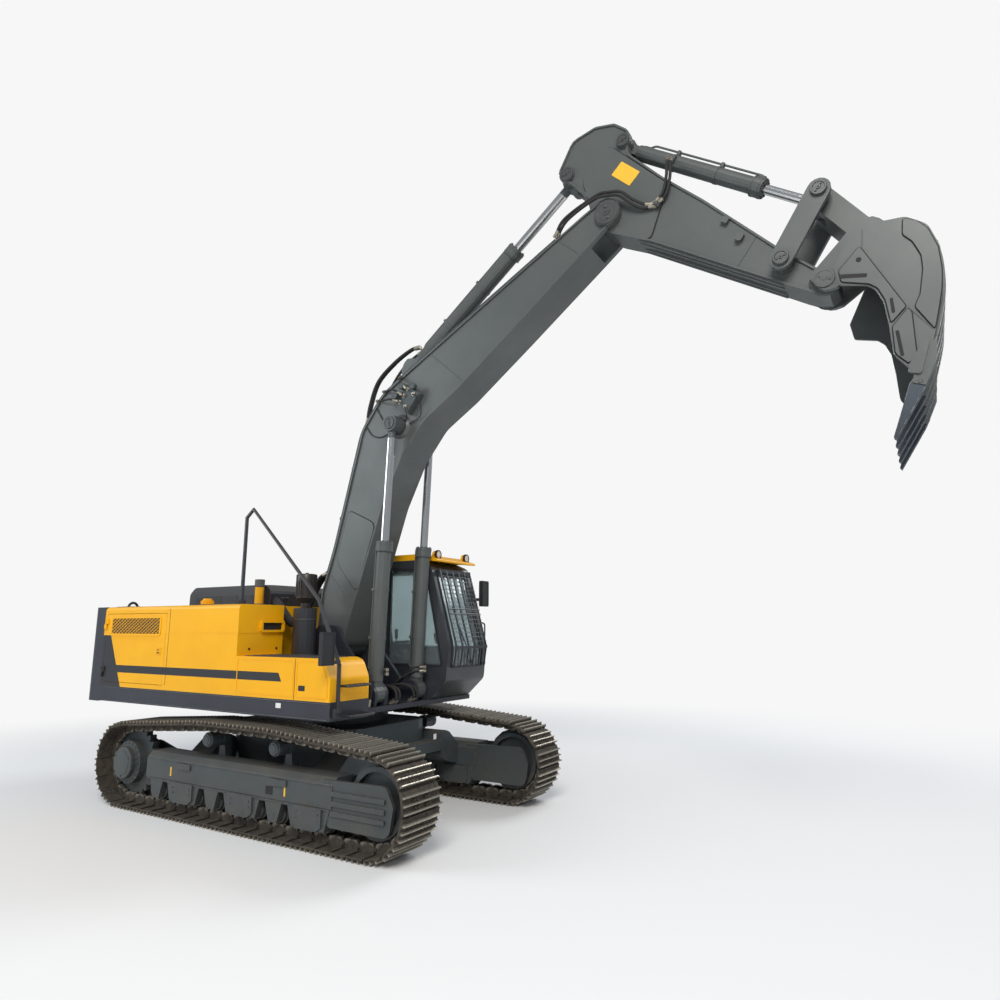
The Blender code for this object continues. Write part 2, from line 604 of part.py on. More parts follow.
def track_path():
    """Pins of the chain: a belt round sprocket, carriers and idler, cut into equal pitches."""
    pitch_radius = LOOP_RADIUS - GROUSER - SHOE_PLATE - LINK_OUT
    small = CARRIER_RADIUS + CARRIER_SLACK + LINK_IN
    half = TUMBLER / 2
    wheels = [(half, LOOP_RADIUS, pitch_radius)]
    wheels += [(x, CARRIER_HEIGHT, small) for x in reversed(CARRIER_PLACES)]
    wheels += [(-half, LOOP_RADIUS, pitch_radius)]
    runs = []
    for (x0, z0, r0), (x1, z1, r1) in zip(wheels, wheels[1:] + wheels[:1]):
        way = Vector((x1 - x0, z1 - z0))
        lean = math.asin((r0 - r1) / way.length)
        normal = math.atan2(way.y, way.x) - math.pi / 2 + lean
        outward = Vector((math.cos(normal), math.sin(normal)))
        runs.append((Vector((x0, z0)) + outward * r0, Vector((x1, z1)) + outward * r1, outward))
    points = []
    for i, (x, z, radius) in enumerate(wheels):
        start = runs[i - 1][2]
        end = runs[i][2]
        sweep = start.angle_signed(end)
        sweep = -sweep if sweep < 0 else 2 * math.pi - sweep
        if sweep > math.pi * 1.5:
            sweep = 2 * math.pi - sweep
        base = math.atan2(start.y, start.x)
        steps = max(2, int(sweep / math.radians(3)))
        for k in range(steps + 1):
            a = base + sweep * k / steps
            points.append((x + radius * math.cos(a), z + radius * math.sin(a)))
    loop = np.array(points + points[:1])
    lengths = np.concatenate([[0], np.cumsum(np.hypot(*np.diff(loop, axis=0).T))])
    marks = np.linspace(0, lengths[-1], SHOE_COUNT, endpoint=False)
    return [(np.interp(m, lengths, loop[:, 0]), np.interp(m, lengths, loop[:, 1])) for m in marks]


def make_track():
    """One loop: a belt of shoes with three ridges each, on two rows of links."""
    pins = [Vector(p) for p in track_path()]
    plate = LINK_OUT + SHOE_PLATE
    shoes, inner, rail = [], [], []
    for pin, ahead, after in zip(pins, pins[1:] + pins[:1], pins[2:] + pins[:2]):
        # from the middle of this shoe to the middle of the next: valley and ridge in turn
        shoes.append([])
        for valley, ridge in zip(VALLEY_SHARES[1:] + VALLEY_SHARES[:1], GROUSER_SHARES[2:] + GROUSER_SHARES[:2]):
            for share, height, first in ((valley, 0, VALLEY_SHARES[0]), (ridge, GROUSER, GROUSER_SHARES[1])):
                start, stop = (pin, ahead) if share > first else (ahead, after)
                way = stop - start
                out = Vector((way.y, -way.x)).normalized()
                shoes[-1].append(start + way * share + out * (plate + height))
        way = ahead - pin
        out = Vector((way.y, -way.x)).normalized()
        inner.append((pin + ahead) / 2 + out * LINK_OUT)
        rail.append((pin + ahead) / 2 - out * LINK_IN)
    half = SHOE_WIDTH / 2
    row = LINK_ROW + LINK_THICK
    lines = (-half, -row, -LINK_ROW, LINK_ROW, row, half)
    work = bmesh.new()
    tops = [[[work.verts.new((p.x, y, p.y)) for y in (-half, half)] for p in cell] for cell in shoes]
    floors = [[work.verts.new((p.x, y, p.y)) for y in lines] for p in inner]
    rails = [[work.verts.new((p.x, y, p.y)) for y in lines[1:-1]] for p in rail]
    for k in range(SHOE_COUNT):
        n = (k + 1) % SHOE_COUNT
        run = tops[k] + tops[n][:1]
        for one, two in zip(run, run[1:]):
            work.faces.new((one[0], one[1], two[1], two[0]))
        for end in (0, -1):
            work.faces.new([pair[end] for pair in run] + [floors[n][end], floors[k][end]])
        for i in (0, 2, 4):
            work.faces.new((floors[k][i], floors[k][i + 1], floors[n][i + 1], floors[n][i]))
        for i in (0, 2):
            work.faces.new((rails[k][i], rails[k][i + 1], rails[n][i + 1], rails[n][i]))
        for i in range(4):
            work.faces.new((floors[k][i + 1], rails[k][i], rails[n][i], floors[n][i + 1]))
    mesh = bpy.data.meshes.new("track")
    work.to_mesh(mesh)
    work.free()
    return solid(mesh)


def rail_distance():
    """Pin line in to the rollers' path on the straight run, and the tread radius that clears it on an arc."""
    pitch_radius = LOOP_RADIUS - GROUSER - SHOE_PLATE - LINK_OUT
    return pitch_radius - LINK_IN


def make_sprocket():
    """Toothed ring between the link rows, and the final drive that carries it; +Y faces outwards."""
    pitch_radius = LOOP_RADIUS - GROUSER - SHOE_PLATE - LINK_OUT
    tip = pitch_radius + TOOTH_RISE
    root = pitch_radius - TOOTH_ROOT
    teeth = []
    # across one tooth: share of the tooth's angle, share of its height
    tooth_shares = ((0.0, 0.0), (0.36, 1.0), (0.60, 1.0))
    for k in range(SPROCKET_TEETH):
        for turn, rise in tooth_shares:
            a = 2 * math.pi * (k + turn) / SPROCKET_TEETH
            r = root + (tip - root) * rise
            teeth.append((r * math.cos(a), r * math.sin(a)))
    disc = prism(teeth, -SPROCKET_THICK / 2, SPROCKET_THICK / 2)
    drive = turned([(0, FRAME_HALF), (DRIVE_RADIUS, FRAME_HALF), (DRIVE_RADIUS, -DRIVE_REACH),
                    (HUB_RADIUS, -DRIVE_REACH - SINK), (HUB_RADIUS, -HUB_REACH + SINK),
                    (HUB_RADIUS - SINK, -HUB_REACH), (0, -HUB_REACH)], (0, 0, 0), sides=18)
    return fuse(disc, drive)


def make_idler():
    """Front wheel: two treads, a centre flange between the link rows, and its axle."""
    pitch_radius = rail_distance() + LINK_IN
    half_turn = math.asin(SHOE_PITCH / 2 / pitch_radius)
    # the rails are chords between the middles of the links
    tread = (pitch_radius * math.cos(half_turn) - LINK_IN) * math.cos(half_turn) - FIT
    flange = LINK_ROW - CLEAR
    width = LINK_ROW + LINK_THICK
    profile = [(0, YOKE_IN - FIT), (IDLER_HUB, YOKE_IN - FIT), (IDLER_HUB, IDLER_WEB),
               (tread - IDLER_WEB, IDLER_WEB), (tread - IDLER_WEB, width), (tread, width), (tread, flange),
               (tread + IDLER_FLANGE, flange - CLEAR)]
    profile += [(r, -h) for r, h in reversed(profile)]
    return turned(profile, (0, 0, 0), sides=18)


def make_track_frame():
    """Beam with a crowned top, roller brackets, guards, carriers and the front yoke; +Y faces inwards."""
    section = rounded([(-FRAME_HALF, FRAME_LOW, CORNER / 2), (FRAME_HALF, FRAME_LOW, CORNER / 2),
                       (FRAME_HALF, FRAME_SHOULDER, CORNER / 2), (FRAME_CROWN, FRAME_TOP, CORNER / 2),
                       (-FRAME_CROWN, FRAME_TOP, CORNER / 2), (-FRAME_HALF, FRAME_SHOULDER, CORNER / 2)], 2)
    beam = prism(section, FRAME_REAR, FRAME_FRONT, "front")
    extra = []
    wheel = TUMBLER / 2
    # final drive bracket on the inner side, reaching back to the sprocket's axle
    tail = [(FRAME_REAR + CORNER * 2, FRAME_LOW, 0), (FRAME_REAR + CORNER * 2, FRAME_SHOULDER, 0),
            (-wheel, LOOP_RADIUS + DRIVE_RADIUS, DRIVE_RADIUS), (-wheel - DRIVE_RADIUS, LOOP_RADIUS, DRIVE_RADIUS),
            (-wheel, LOOP_RADIUS - DRIVE_RADIUS, DRIVE_RADIUS)]
    extra.append(prism(rounded(tail, 4), FRAME_HALF + FIT, FRAME_HALF + FIT + YOKE_THICK))
    extra.append(block((FRAME_REAR, FRAME_HALF - SINK, FRAME_LOW + CORNER),
                       (FRAME_REAR + CORNER * 3, FRAME_HALF + FIT + YOKE_THICK / 2, FRAME_SHOULDER - CORNER)))
    # yoke plates each side of the idler, the outer one with ribs
    front = [(FRAME_FRONT - CORNER * 3, FRAME_TOP - CORNER / 2, 0), (FRAME_FRONT - CORNER * 3, FRAME_LOW + CORNER / 2, 0),
             (FRAME_FRONT - CORNER, YOKE_LOW, CORNER), (YOKE_FRONT - CORNER, YOKE_LOW, CORNER * 2),
             (YOKE_FRONT, LOOP_RADIUS, CORNER * 2), (YOKE_FRONT - CORNER * 2, FRAME_TOP, CORNER * 2)]
    for side in (-1, 1):
        near, far = sorted((side * YOKE_IN, side * (YOKE_IN + YOKE_THICK)))
        extra.append(prism(rounded(front), near, far))
    rib_gap = (FRAME_TOP - YOKE_LOW) / 5
    for k in (1, 2, 3):
        z = YOKE_LOW + rib_gap * (k + 0.5)
        extra.append(block((FRAME_FRONT, -YOKE_IN - YOKE_THICK - RIB_RISE, z - RIB_RISE),
                           (YOKE_FRONT - CORNER * 2, -YOKE_IN - YOKE_THICK + SINK, z + RIB_RISE)))
    tread_half = LINK_ROW + LINK_THICK
    height = LOOP_RADIUS - rail_distance() + FIT + ROLLER_RADIUS
    lobes = [(ROLLER_FIRST - ROLLER_STEP / 2, FRAME_LOW + SINK)]
    for k in range(ROLLER_COUNT):
        x = ROLLER_FIRST + k * ROLLER_STEP
        extra.append(drum((x, -tread_half, height), tread_half * 2, ROLLER_RADIUS, sides=8))
        lobes += [(x - COLLAR_BOX * 2, FRAME_LOW - SINK), (x - COLLAR_BOX, height - COLLAR_BOX),
                  (x + COLLAR_BOX, height - COLLAR_BOX), (x + COLLAR_BOX * 2, FRAME_LOW - SINK)]
    lobes.append((ROLLER_FIRST + (ROLLER_COUNT - 0.5) * ROLLER_STEP, FRAME_LOW + SINK))
    for side in (-1, 1):
        near, far = sorted((side * (tread_half - SINK), side * (COLLAR_HALF + SINK)))
        extra.append(prism(lobes, near, far))
    for x in GUARD_PLACES:
        shape = [(x - GUARD_LENGTH / 2, FRAME_LOW + SINK), (x - GUARD_LENGTH / 2, GUARD_LOW + CORNER),
                 (x - GUARD_LENGTH / 3, GUARD_LOW), (x + GUARD_LENGTH / 3, GUARD_LOW),
                 (x + GUARD_LENGTH / 2, GUARD_LOW + CORNER), (x + GUARD_LENGTH / 2, FRAME_LOW + SINK)]
        for side in (-1, 1):
            near, far = sorted((side * (COLLAR_HALF + SINK / 2), side * (COLLAR_HALF + SINK / 2 + GUARD_THICK)))
            extra.append(prism(shape, near, far))
    for x in CARRIER_PLACES:
        extra.append(drum((x, -tread_half, CARRIER_HEIGHT), tread_half * 2, CARRIER_RADIUS, sides=12))
        foot = [(x - COLLAR_BOX, FRAME_TOP - SINK), (x + COLLAR_BOX, FRAME_TOP - SINK),
                (x + COLLAR_BOX / 2, CARRIER_HEIGHT), (x - COLLAR_BOX / 2, CARRIER_HEIGHT)]
        extra.append(prism(foot, tread_half - SINK, COLLAR_HALF + SINK))
    return fuse(beam, *extra)


def build_undercarriage():
    axle = TUMBLER / 2
    track = make_track()
    sprocket = make_sprocket()
    idler = make_idler()
    beam = make_track_frame()
    for name, side in (("right", -1), ("left", 1)):
        # every piece is made for the right track, whose outer side is -Y
        for label, thing, x, slot in (("track", track, 0, "steel"), ("sprocket", sprocket, -axle, "charcoal"),
                                      ("idler", idler, axle, "charcoal"), ("track_frame", beam, 0, "charcoal")):
            copy = twin(thing) if side < 0 else mirrored(thing)
            z = LOOP_RADIUS if label in ("sprocket", "idler") else 0
            keep(shifted(copy, (x, side * GAUGE / 2, z)), f"{label}_{name}", slot, machine)
    for thing in (track, sprocket, idler, beam):
        bpy.data.objects.remove(thing, do_unlink=True)
    inner = GAUGE / 2 - FRAME_HALF - FIT
    # half of the cross member's front view, (y, z, rounding)
    wing = [(0, BELLY, 0), (HUB_BLOCK_HALF, BELLY, CORNER * 3), (inner, LEG_LOW, CORNER), (inner, LEG_TOP, 0),
            (HUB_BLOCK_HALF, BODY_TOP - CORNER, CORNER * 4), (0, BODY_TOP, 0)]
    whole = rounded(wing[1:-1]) + [(-y, z) for y, z in reversed(rounded(wing[1:-1]))]
    legs = [prism(whole, side * LEG_PLACE - LEG_HALF, side * LEG_PLACE + LEG_HALF, "front") for side in (-1, 1)]
    plan = rounded([(LEG_PLACE, -HUB_BLOCK_HALF, CORNER * 5), (LEG_PLACE, HUB_BLOCK_HALF, CORNER * 5),
                    (-LEG_PLACE, HUB_BLOCK_HALF, CORNER * 5), (-LEG_PLACE, -HUB_BLOCK_HALF, CORNER * 5)])
    core = prism(plan, BELLY + SINK, BODY_TOP - SINK, "plan")
    seat = drum((0, 0, BODY_TOP - CORNER), RING_LOW - BODY_TOP + CORNER, RING_RADIUS + RING_STEP, "Z", 36)
    keep(fuse(core, *legs, seat), "car_body", "charcoal", machine)
    bearing = turned([(0, RING_TOP - FIT), (RING_RADIUS, RING_TOP - FIT), (RING_RADIUS, RING_LOW + RING_STEP * 2),
                      (RING_RADIUS + RING_STEP, RING_LOW + RING_STEP * 2), (RING_RADIUS + RING_STEP, RING_LOW + FIT),
                      (0, RING_LOW + FIT)], (0, 0, 0), "Z", 36)
    keep(bearing, "slewing_ring", "charcoal", machine)


def wall_door(name, span, side, grille=False):
    """A side door hinged at its rear edge, and the cutter and knuckles that the house needs for it."""
    low, high = DOOR_LOW, DOOR_TOP
    inner, outer = sorted((side * (HALF_WIDTH - DOOR_THICK), side * HALF_WIDTH))
    door = block((span[0] + CLEAR / 2, inner, low + CLEAR / 2), (span[1] - CLEAR / 2, outer, high - CLEAR / 2))
    axis_y = side * (HALF_WIDTH + KNUCKLE_OUT)
    mine, theirs = [], []
    for share in HINGE_SHARES:
        z = low + (high - low) * share
        leaf_in, leaf_out = sorted((side * (HALF_WIDTH - SINK), side * (HALF_WIDTH + KNUCKLE_OUT)))
        mine.append(drum((span[0], axis_y, z), KNUCKLE_LONG, KNUCKLE, "Z", 8))
        mine.append(block((span[0] + CLEAR, leaf_in, z), (span[0] + KNUCKLE * 3, leaf_out, z + KNUCKLE_LONG)))
        theirs.append(drum((span[0], axis_y, z - KNUCKLE_LONG - PIN_GAP), KNUCKLE_LONG, KNUCKLE, "Z", 8))
        theirs.append(block((span[0] - KNUCKLE * 3, leaf_in, z - KNUCKLE_LONG - PIN_GAP),
                            (span[0] - CLEAR, leaf_out, z - PIN_GAP)))
    fuse(door, *mine)
    if grille:
        start, end, base, top = GRILLE_SHARES
        x0 = span[0] + (span[1] - span[0]) * start
        x1 = span[0] + (span[1] - span[0]) * end
        slots = []
        for k in range(LOUVRE_COUNT):
            z0 = low + (high - low) * (base + (top - base) * k / LOUVRE_COUNT)
            z1 = z0 + (high - low) * (top - base) / LOUVRE_COUNT / 2
            near, far = sorted((side * (HALF_WIDTH - OVERRUN), side * (HALF_WIDTH + OVERRUN)))
            slots.append(block((x0, near, z0), (x1, far, z1)))
        carve(door, *slots)
    keep(door, name, "yellow", upper)
    near, far = sorted((side * (HALF_WIDTH - PANEL * 2), side * (HALF_WIDTH + OVERRUN)))
    opening = block((span[0] - CLEAR / 2, near, low - CLEAR / 2), (span[1] + CLEAR / 2, far, high + CLEAR / 2))
    return opening, theirs


def build_house():
    """Engine house with its doors and lid, and what stands in it."""
    plan = [(HOUSE_REAR, -HALF_WIDTH), (TANK_REAR, -HALF_WIDTH), (TANK_REAR, TANK_INSIDE), (HOUSE_FRONT, TANK_INSIDE),
            (HOUSE_FRONT, HALF_WIDTH), (HOUSE_REAR, HALF_WIDTH)]
    house = prism(plan, BODY_LOW, HOUSE_TOP, "plan")
    crown = [(-HALF_WIDTH, BODY_LOW - CORNER, 0), (HALF_WIDTH, BODY_LOW - CORNER, 0), (HALF_WIDTH, HOUSE_TOP, CORNER),
             (-HALF_WIDTH, HOUSE_TOP, CORNER)]
    common(house, prism(rounded(crown, 2), HOUSE_REAR - CORNER, HOUSE_FRONT + CORNER, "front"))
    carve(house, prism(inset(plan, PANEL), BODY_LOW - OVERRUN, HOUSE_TOP - PANEL, "plan"))
    openings, knuckles = [], []
    for name, span, side, grille in (("right_rear_door", REAR_DOOR, -1, True),
                                     ("left_rear_door", LEFT_REAR_DOOR, 1, True),
                                     ("left_mid_door", LEFT_MID_DOOR, 1, False)):
        opening, theirs = wall_door(name, span, side, grille)
        openings.append(opening)
        knuckles += theirs
    openings.append(block((HOOD_REAR + PANEL * 1.5, -HOOD_HALF + PANEL * 1.5, HOUSE_TOP - OVERRUN),
                          (HOOD_FRONT - PANEL * 1.5, HOOD_HALF - PANEL * 1.5, HOUSE_TOP + OVERRUN)))
    carve(house, *openings)
    # lid over the engine, hinged at its rear edge
    lid = prism(rounded(HOOD_OUTLINE, 2), -HOOD_HALF, HOOD_HALF)
    hollow = [(x, z - PANEL * 2) if z < HOUSE_TOP + PANEL * 2 else (x, z) for x, z in inset(rounded(HOOD_OUTLINE, 2), PANEL)]
    carve(lid, prism(hollow, -HOOD_HALF + PANEL, HOOD_HALF - PANEL))
    axis_x, axis_z = HOOD_REAR - KNUCKLE_OUT, HOUSE_TOP + KNUCKLE_OUT
    mine = []
    for y in (-HOOD_HALF / 2, HOOD_HALF / 2):
        mine.append(drum((axis_x, y, axis_z), KNUCKLE_LONG, KNUCKLE, "Y", 8))
        mine.append(block((axis_x, y, axis_z - KNUCKLE / 2), (HOOD_REAR + SINK, y + KNUCKLE_LONG, axis_z + KNUCKLE / 2)))
        foot = y - KNUCKLE_LONG - PIN_GAP
        knuckles.append(drum((axis_x, foot, axis_z), KNUCKLE_LONG, KNUCKLE, "Y", 8))
        knuckles.append(block((axis_x - KNUCKLE, foot, HOUSE_TOP - SINK), (axis_x + KNUCKLE / 2, y - PIN_GAP, axis_z)))
    keep(fuse(lid, *mine), "engine_hood", "black", upper)
    keep(fuse(house, *knuckles), "house_shell", "yellow", upper)
    keep(block(*ENGINE), "engine_block", "engine", upper)
    keep(block(*RADIATOR), "radiator", "black", upper)


def build_deck():
    """Revolving frame with skirts, the boom's brackets and the lugs of its cylinders; counterweight, tank, box."""
    plan = [(HOUSE_REAR, -HALF_WIDTH), (TOOLBOX_FRONT, -HALF_WIDTH), (TOOLBOX_FRONT, TOOLBOX_INSIDE),
            (DECK_FRONT, TOOLBOX_INSIDE + CORNER), (DECK_FRONT, BRACKET_IN), (CAB_DECK_FRONT, CAB_RIGHT),
            (CAB_DECK_FRONT, HALF_WIDTH), (HOUSE_REAR, HALF_WIDTH)]
    deck = prism(plan, DECK_LOW, DECK_TOP, "plan")
    inner = HALF_WIDTH - SKIRT_THICK
    extra = [block((HOUSE_REAR, -HALF_WIDTH, DECK_LOW), (TOOLBOX_FRONT, -inner, BODY_LOW - FIT)),
             block((TOOLBOX_FRONT - SKIRT_THICK, -HALF_WIDTH, DECK_LOW), (TOOLBOX_FRONT, TOOLBOX_INSIDE, BODY_LOW - FIT)),
             block((HOUSE_REAR, inner, DECK_LOW), (HOUSE_FRONT, HALF_WIDTH, BODY_LOW - FIT)),
             block((HOUSE_REAR, -HALF_WIDTH, DECK_LOW), (HOUSE_REAR + SKIRT_THICK, HALF_WIDTH, BODY_LOW - FIT))]
    eye, half = BOOM_RAM[2], BOOM_RAM[3]
    bracket_out = BRACKET_IN + BRACKET_THICK
    ram_in, ram_out = RAM_MIDDLE - half, RAM_MIDDLE + half
    lug = [(x, z, r) for x, z, r in BRACKET_OUTLINE if x > RAM_FOOT[0] - eye * 2]
    lug = [(RAM_FOOT[0] - eye * 1.2, DECK_LOW + SINK, 0)] + [(RAM_FOOT[0] - eye, RAM_FOOT[1] + eye, eye)] + lug[1:]
    for side in (-1, 1):
        near, far = sorted((side * BRACKET_IN, side * min(bracket_out, ram_in - PIN_GAP)))
        extra.append(prism(rounded(BRACKET_OUTLINE, 2), near, far))
        near, far = sorted((side * (ram_out + PIN_GAP), side * (CAB_RIGHT - CLEAR)))
        extra.append(prism(rounded(lug, 2), near, far))
        near, far = sorted((side * (bracket_out - SINK), side * (bracket_out + PIN_HEAD)))
        extra.append(drum((FOOT[0], near, FOOT[1]), far - near, eye, "Y", 14))
    keep(fuse(deck, *extra), "revolving_frame", "charcoal", upper)
    ballast = prism(rounded(BALLAST_PLAN, 3), BALLAST_LOW - CORNER, BALLAST_TOP + CORNER, "plan")
    common(ballast, prism(rounded(BALLAST_SIDE, 3), -HALF_WIDTH - CORNER, HALF_WIDTH + CORNER))
    keep(shifted(ballast, (HOUSE_REAR - BALLAST_FRONT - FIT, 0, 0)), "counterweight", "charcoal", upper)
    section = [(-HALF_WIDTH, BODY_LOW, 0), (TANK_INSIDE - FIT, BODY_LOW, 0), (TANK_INSIDE - FIT, HOUSE_TOP, 0),
               (-HALF_WIDTH, HOUSE_TOP, CORNER)]
    keep(prism(rounded(section), TANK_REAR + FIT, TANK_FRONT, "front"), "fuel_tank", "yellow", upper)
    keep(prism(rounded(TOOLBOX_OUTLINE), -HALF_WIDTH, TOOLBOX_INSIDE), "tool_box", "yellow", upper)
    keep(drum((CAP_PLACE[0], CAP_PLACE[1], HOUSE_TOP + FIT), CAP_RADIUS, CAP_RADIUS, "Z", 14), "filler_cap", "yellow",
         upper)


def build_deck_pieces():
    x, y = INTAKE_PLACE
    keep(drum((x, y, DECK_TOP + FIT), INTAKE_TOP - DECK_TOP, INTAKE_RADIUS, "Z", 18), "air_filter", "charcoal", upper)
    neck = CLEANER_RADIUS / 2
    low = INTAKE_TOP + FIT * 2
    profile = [(0, low), (neck, low), (neck, low + neck), (CLEANER_RADIUS, low + CLEANER_RADIUS),
               (CLEANER_RADIUS, CLEANER_TOP - neck), (neck, CLEANER_TOP), (0, CLEANER_TOP)]
    keep(turned(profile, (x, y, 0), "Z", 18), "precleaner", "black", upper)
    x, y = EXHAUST_PLACE
    keep(drum((x, y, HOUSE_TOP + FIT), EXHAUST_TOP - HOUSE_TOP, EXHAUST_RADIUS, "Z", 14), "exhaust_pipe", "yellow", upper)
    run = [(x, -HALF_WIDTH + RAIL_INSET, z) for x, z in RAIL_SIDE]
    rail = tube(run, RAIL_RADIUS, 6)
    foot_x, foot_y, foot_z = run[-1]
    head_x, head_y, head_z = run[0]
    pad = block((TOOLBOX_FRONT + FIT, foot_y - CORNER, foot_z - CORNER), (foot_x + SINK, foot_y + CORNER, foot_z + CORNER))
    post = drum((head_x, head_y, HOUSE_TOP + FIT), CORNER, CORNER, "Z", 8)
    bracket_low = (MIRROR_LOW[0], MIRROR_HIGH[1] + FIT, MIRROR_LOW[2] + SINK)
    arm_bar = block(bracket_low, (MIRROR_HIGH[0], foot_y - SINK, MIRROR_LOW[2] + CORNER))
    keep(fuse(rail, pad, post, arm_bar), "handrail", "charcoal", upper)
    keep(block(MIRROR_LOW, MIRROR_HIGH), "mirror_right", "black", upper)


def nose_at(z):
    """The cab front's x at a height."""
    low, middle, high = CAB_OUTLINE[2], CAB_OUTLINE[3], CAB_OUTLINE[4]
    one, two = (low, middle) if z < middle[1] else (middle, high)
    return one[0] + (two[0] - one[0]) * (z - one[1]) / (two[1] - one[1])


def band_of(outline, near_depth, far_depth, low, high):
    """A thin shell that follows an outline's inside, between two depths."""
    shell = prism(inset(outline, near_depth), low, high)
    return carve(shell, prism(inset(outline, far_depth), low - OVERRUN, high + OVERRUN))


def build_cab():
    outline = rounded(CAB_OUTLINE, 2)
    cab = prism(outline, CAB_RIGHT, CAB_LEFT)
    carve(cab, prism(inset(outline, CAB_WALL), CAB_RIGHT + CAB_WALL, CAB_LEFT - CAB_WALL))
    deep = CAB_WALL * 2
    # window: name, outline, wall's outer face, side
    walls = {"right": (CAB_RIGHT - CORNER, CAB_RIGHT + deep), "left": (CAB_LEFT - deep, CAB_LEFT + CORNER)}
    cuts = []
    for name, shape, wall in (("pane_right_front", SIDE_GLASS_FRONT, "right"), ("pane_right_rear", SIDE_GLASS_REAR, "right"),
                              ("pane_left", LEFT_GLASS, "left")):
        hole = rounded(shape, 2)
        cuts.append(prism(hole, *walls[wall]))
        middle = CAB_RIGHT + CAB_WALL / 2 if wall == "right" else CAB_LEFT - CAB_WALL / 2
        keep(prism(inset(hole, FIT), middle - GLASS / 2, middle + GLASS / 2), name, "glass", upper)
    cuts.append(prism(rounded(DOOR_OUTLINE, 2), *walls["left"]))
    side_gap = CAB_WALL + CORNER
    # front and rear windows: x from, x to, z from, z to
    for name, x0, x1, z0, z1 in (("pane_front", 1.10, 1.90, 1.78, 3.10), ("pane_rear", -0.60, -0.20, 2.20, 3.08)):
        cuts.append(block((x0, CAB_RIGHT + side_gap, z0), (x1, CAB_LEFT - side_gap, z1)))
        pane = band_of(outline, (CAB_WALL - GLASS) / 2, (CAB_WALL + GLASS) / 2, CAB_RIGHT, CAB_LEFT)
        common(pane, block((x0, CAB_RIGHT + side_gap + FIT, z0 + FIT), (x1, CAB_LEFT - side_gap - FIT, z1 - FIT)))
        keep(pane, name, "glass", upper)
    carve(cab, *cuts)
    hinge_x = DOOR_OUTLINE[0][0]
    axis_y = CAB_LEFT + KNUCKLE_OUT
    door = prism(inset(rounded(DOOR_OUTLINE, 2), CLEAR / 2), CAB_LEFT - CAB_WALL, CAB_LEFT)
    glass = rounded(DOOR_GLASS, 2)
    carve(door, prism(glass, *walls["left"]))
    mine, theirs = [], []
    for share in HINGE_SHARES:
        z = DOOR_OUTLINE[0][1] + (DOOR_OUTLINE[-1][1] - DOOR_OUTLINE[0][1]) * share
        mine.append(drum((hinge_x, axis_y, z), KNUCKLE_LONG, KNUCKLE, "Z", 8))
        mine.append(block((hinge_x + CLEAR, CAB_LEFT - SINK, z), (hinge_x + KNUCKLE * 3, axis_y, z + KNUCKLE_LONG)))
        low = z - KNUCKLE_LONG - PIN_GAP
        theirs.append(drum((hinge_x, axis_y, low), KNUCKLE_LONG, KNUCKLE, "Z", 8))
        theirs.append(block((hinge_x - KNUCKLE * 3, CAB_LEFT - SINK, low), (hinge_x - CLEAR, axis_y, z - PIN_GAP)))
    keep(fuse(door, *mine), "cab_door", "charcoal", upper)
    middle = CAB_LEFT - CAB_WALL / 2
    keep(prism(inset(glass, FIT), middle - GLASS / 2, middle + GLASS / 2), "pane_door", "glass", upper)
    keep(fuse(cab, *theirs), "cab_shell", "charcoal", upper)
    seat_middle = (CAB_RIGHT + CAB_LEFT) / 2 - CORNER
    seat_half = (CAB_LEFT - CAB_RIGHT) * SEAT_SHARE
    keep(prism(rounded(SEAT_OUTLINE, 2), seat_middle - seat_half, seat_middle + seat_half), "seat", "seat", upper)
    (console_x, console_z), (console_end, console_top) = CONSOLE_SIDE
    keep(block((console_x, seat_middle + seat_half + CONSOLE_GAP, console_z),
               (console_end, CAB_LEFT - CONSOLE_INSET, console_top), bevel=SINK), "console", "black", upper)
    low, high = CAB_RIGHT + side_gap, CAB_LEFT - side_gap
    bars = []
    for k in range(GUARD_BARS):
        y = low + (high - low) * k / (GUARD_BARS - 1)
        bars.append(prism(GUARD_OUTLINE, y - BAR_HALF, y + BAR_HALF))
    x_out, x_in = GUARD_OUTLINE[1][0], GUARD_OUTLINE[4][0]
    bars.append(block((x_in, low - BAR_HALF * 2, GUARD_OUTLINE[1][1] - CORNER / 2), (x_out, high + BAR_HALF * 2, GUARD_OUTLINE[1][1] + BAR_HALF)))
    top_x, top_z = GUARD_OUTLINE[3]
    bars.append(block((top_x - BAR_HALF, low - BAR_HALF * 2, top_z - CORNER), (top_x + CORNER / 2, high + BAR_HALF * 2, top_z)))
    brow_x, brow_z = CAP_OUTLINE[3][:2]
    lamps = [drum((brow_x - LAMP_DEPTH * 2, y, brow_z + LAMP_RADIUS + SINK), LAMP_DEPTH, LAMP_RADIUS, "X", 12)
             for y in (CAB_RIGHT + LAMP_RADIUS * 2, CAB_LEFT - LAMP_RADIUS * 2)]
    cap = prism(rounded(CAP_OUTLINE, 3), CAB_RIGHT, CAB_LEFT + ROOF_PROUD)
    keep(fuse(cap, *lamps), "roof_visor", "yellow", upper)
    keep(fuse(block(LEFT_MIRROR_LOW, LEFT_MIRROR_HIGH), block(*MIRROR_ARM)), "mirror_left", "black", upper)
    # feet that carry the guard on the cab's front
    for z in GUARD_FEET:
        nose = max(nose_at(z), nose_at(z + BAR_HALF * 2)) + FIT
        for y in (low, high):
            bars.append(block((nose, y - BAR_HALF, z), (nose + GUARD_STANDOFF, y + BAR_HALF, z + BAR_HALF * 2)))
    keep(fuse(bars[0], *bars[1:]), "front_guard", "black", upper)


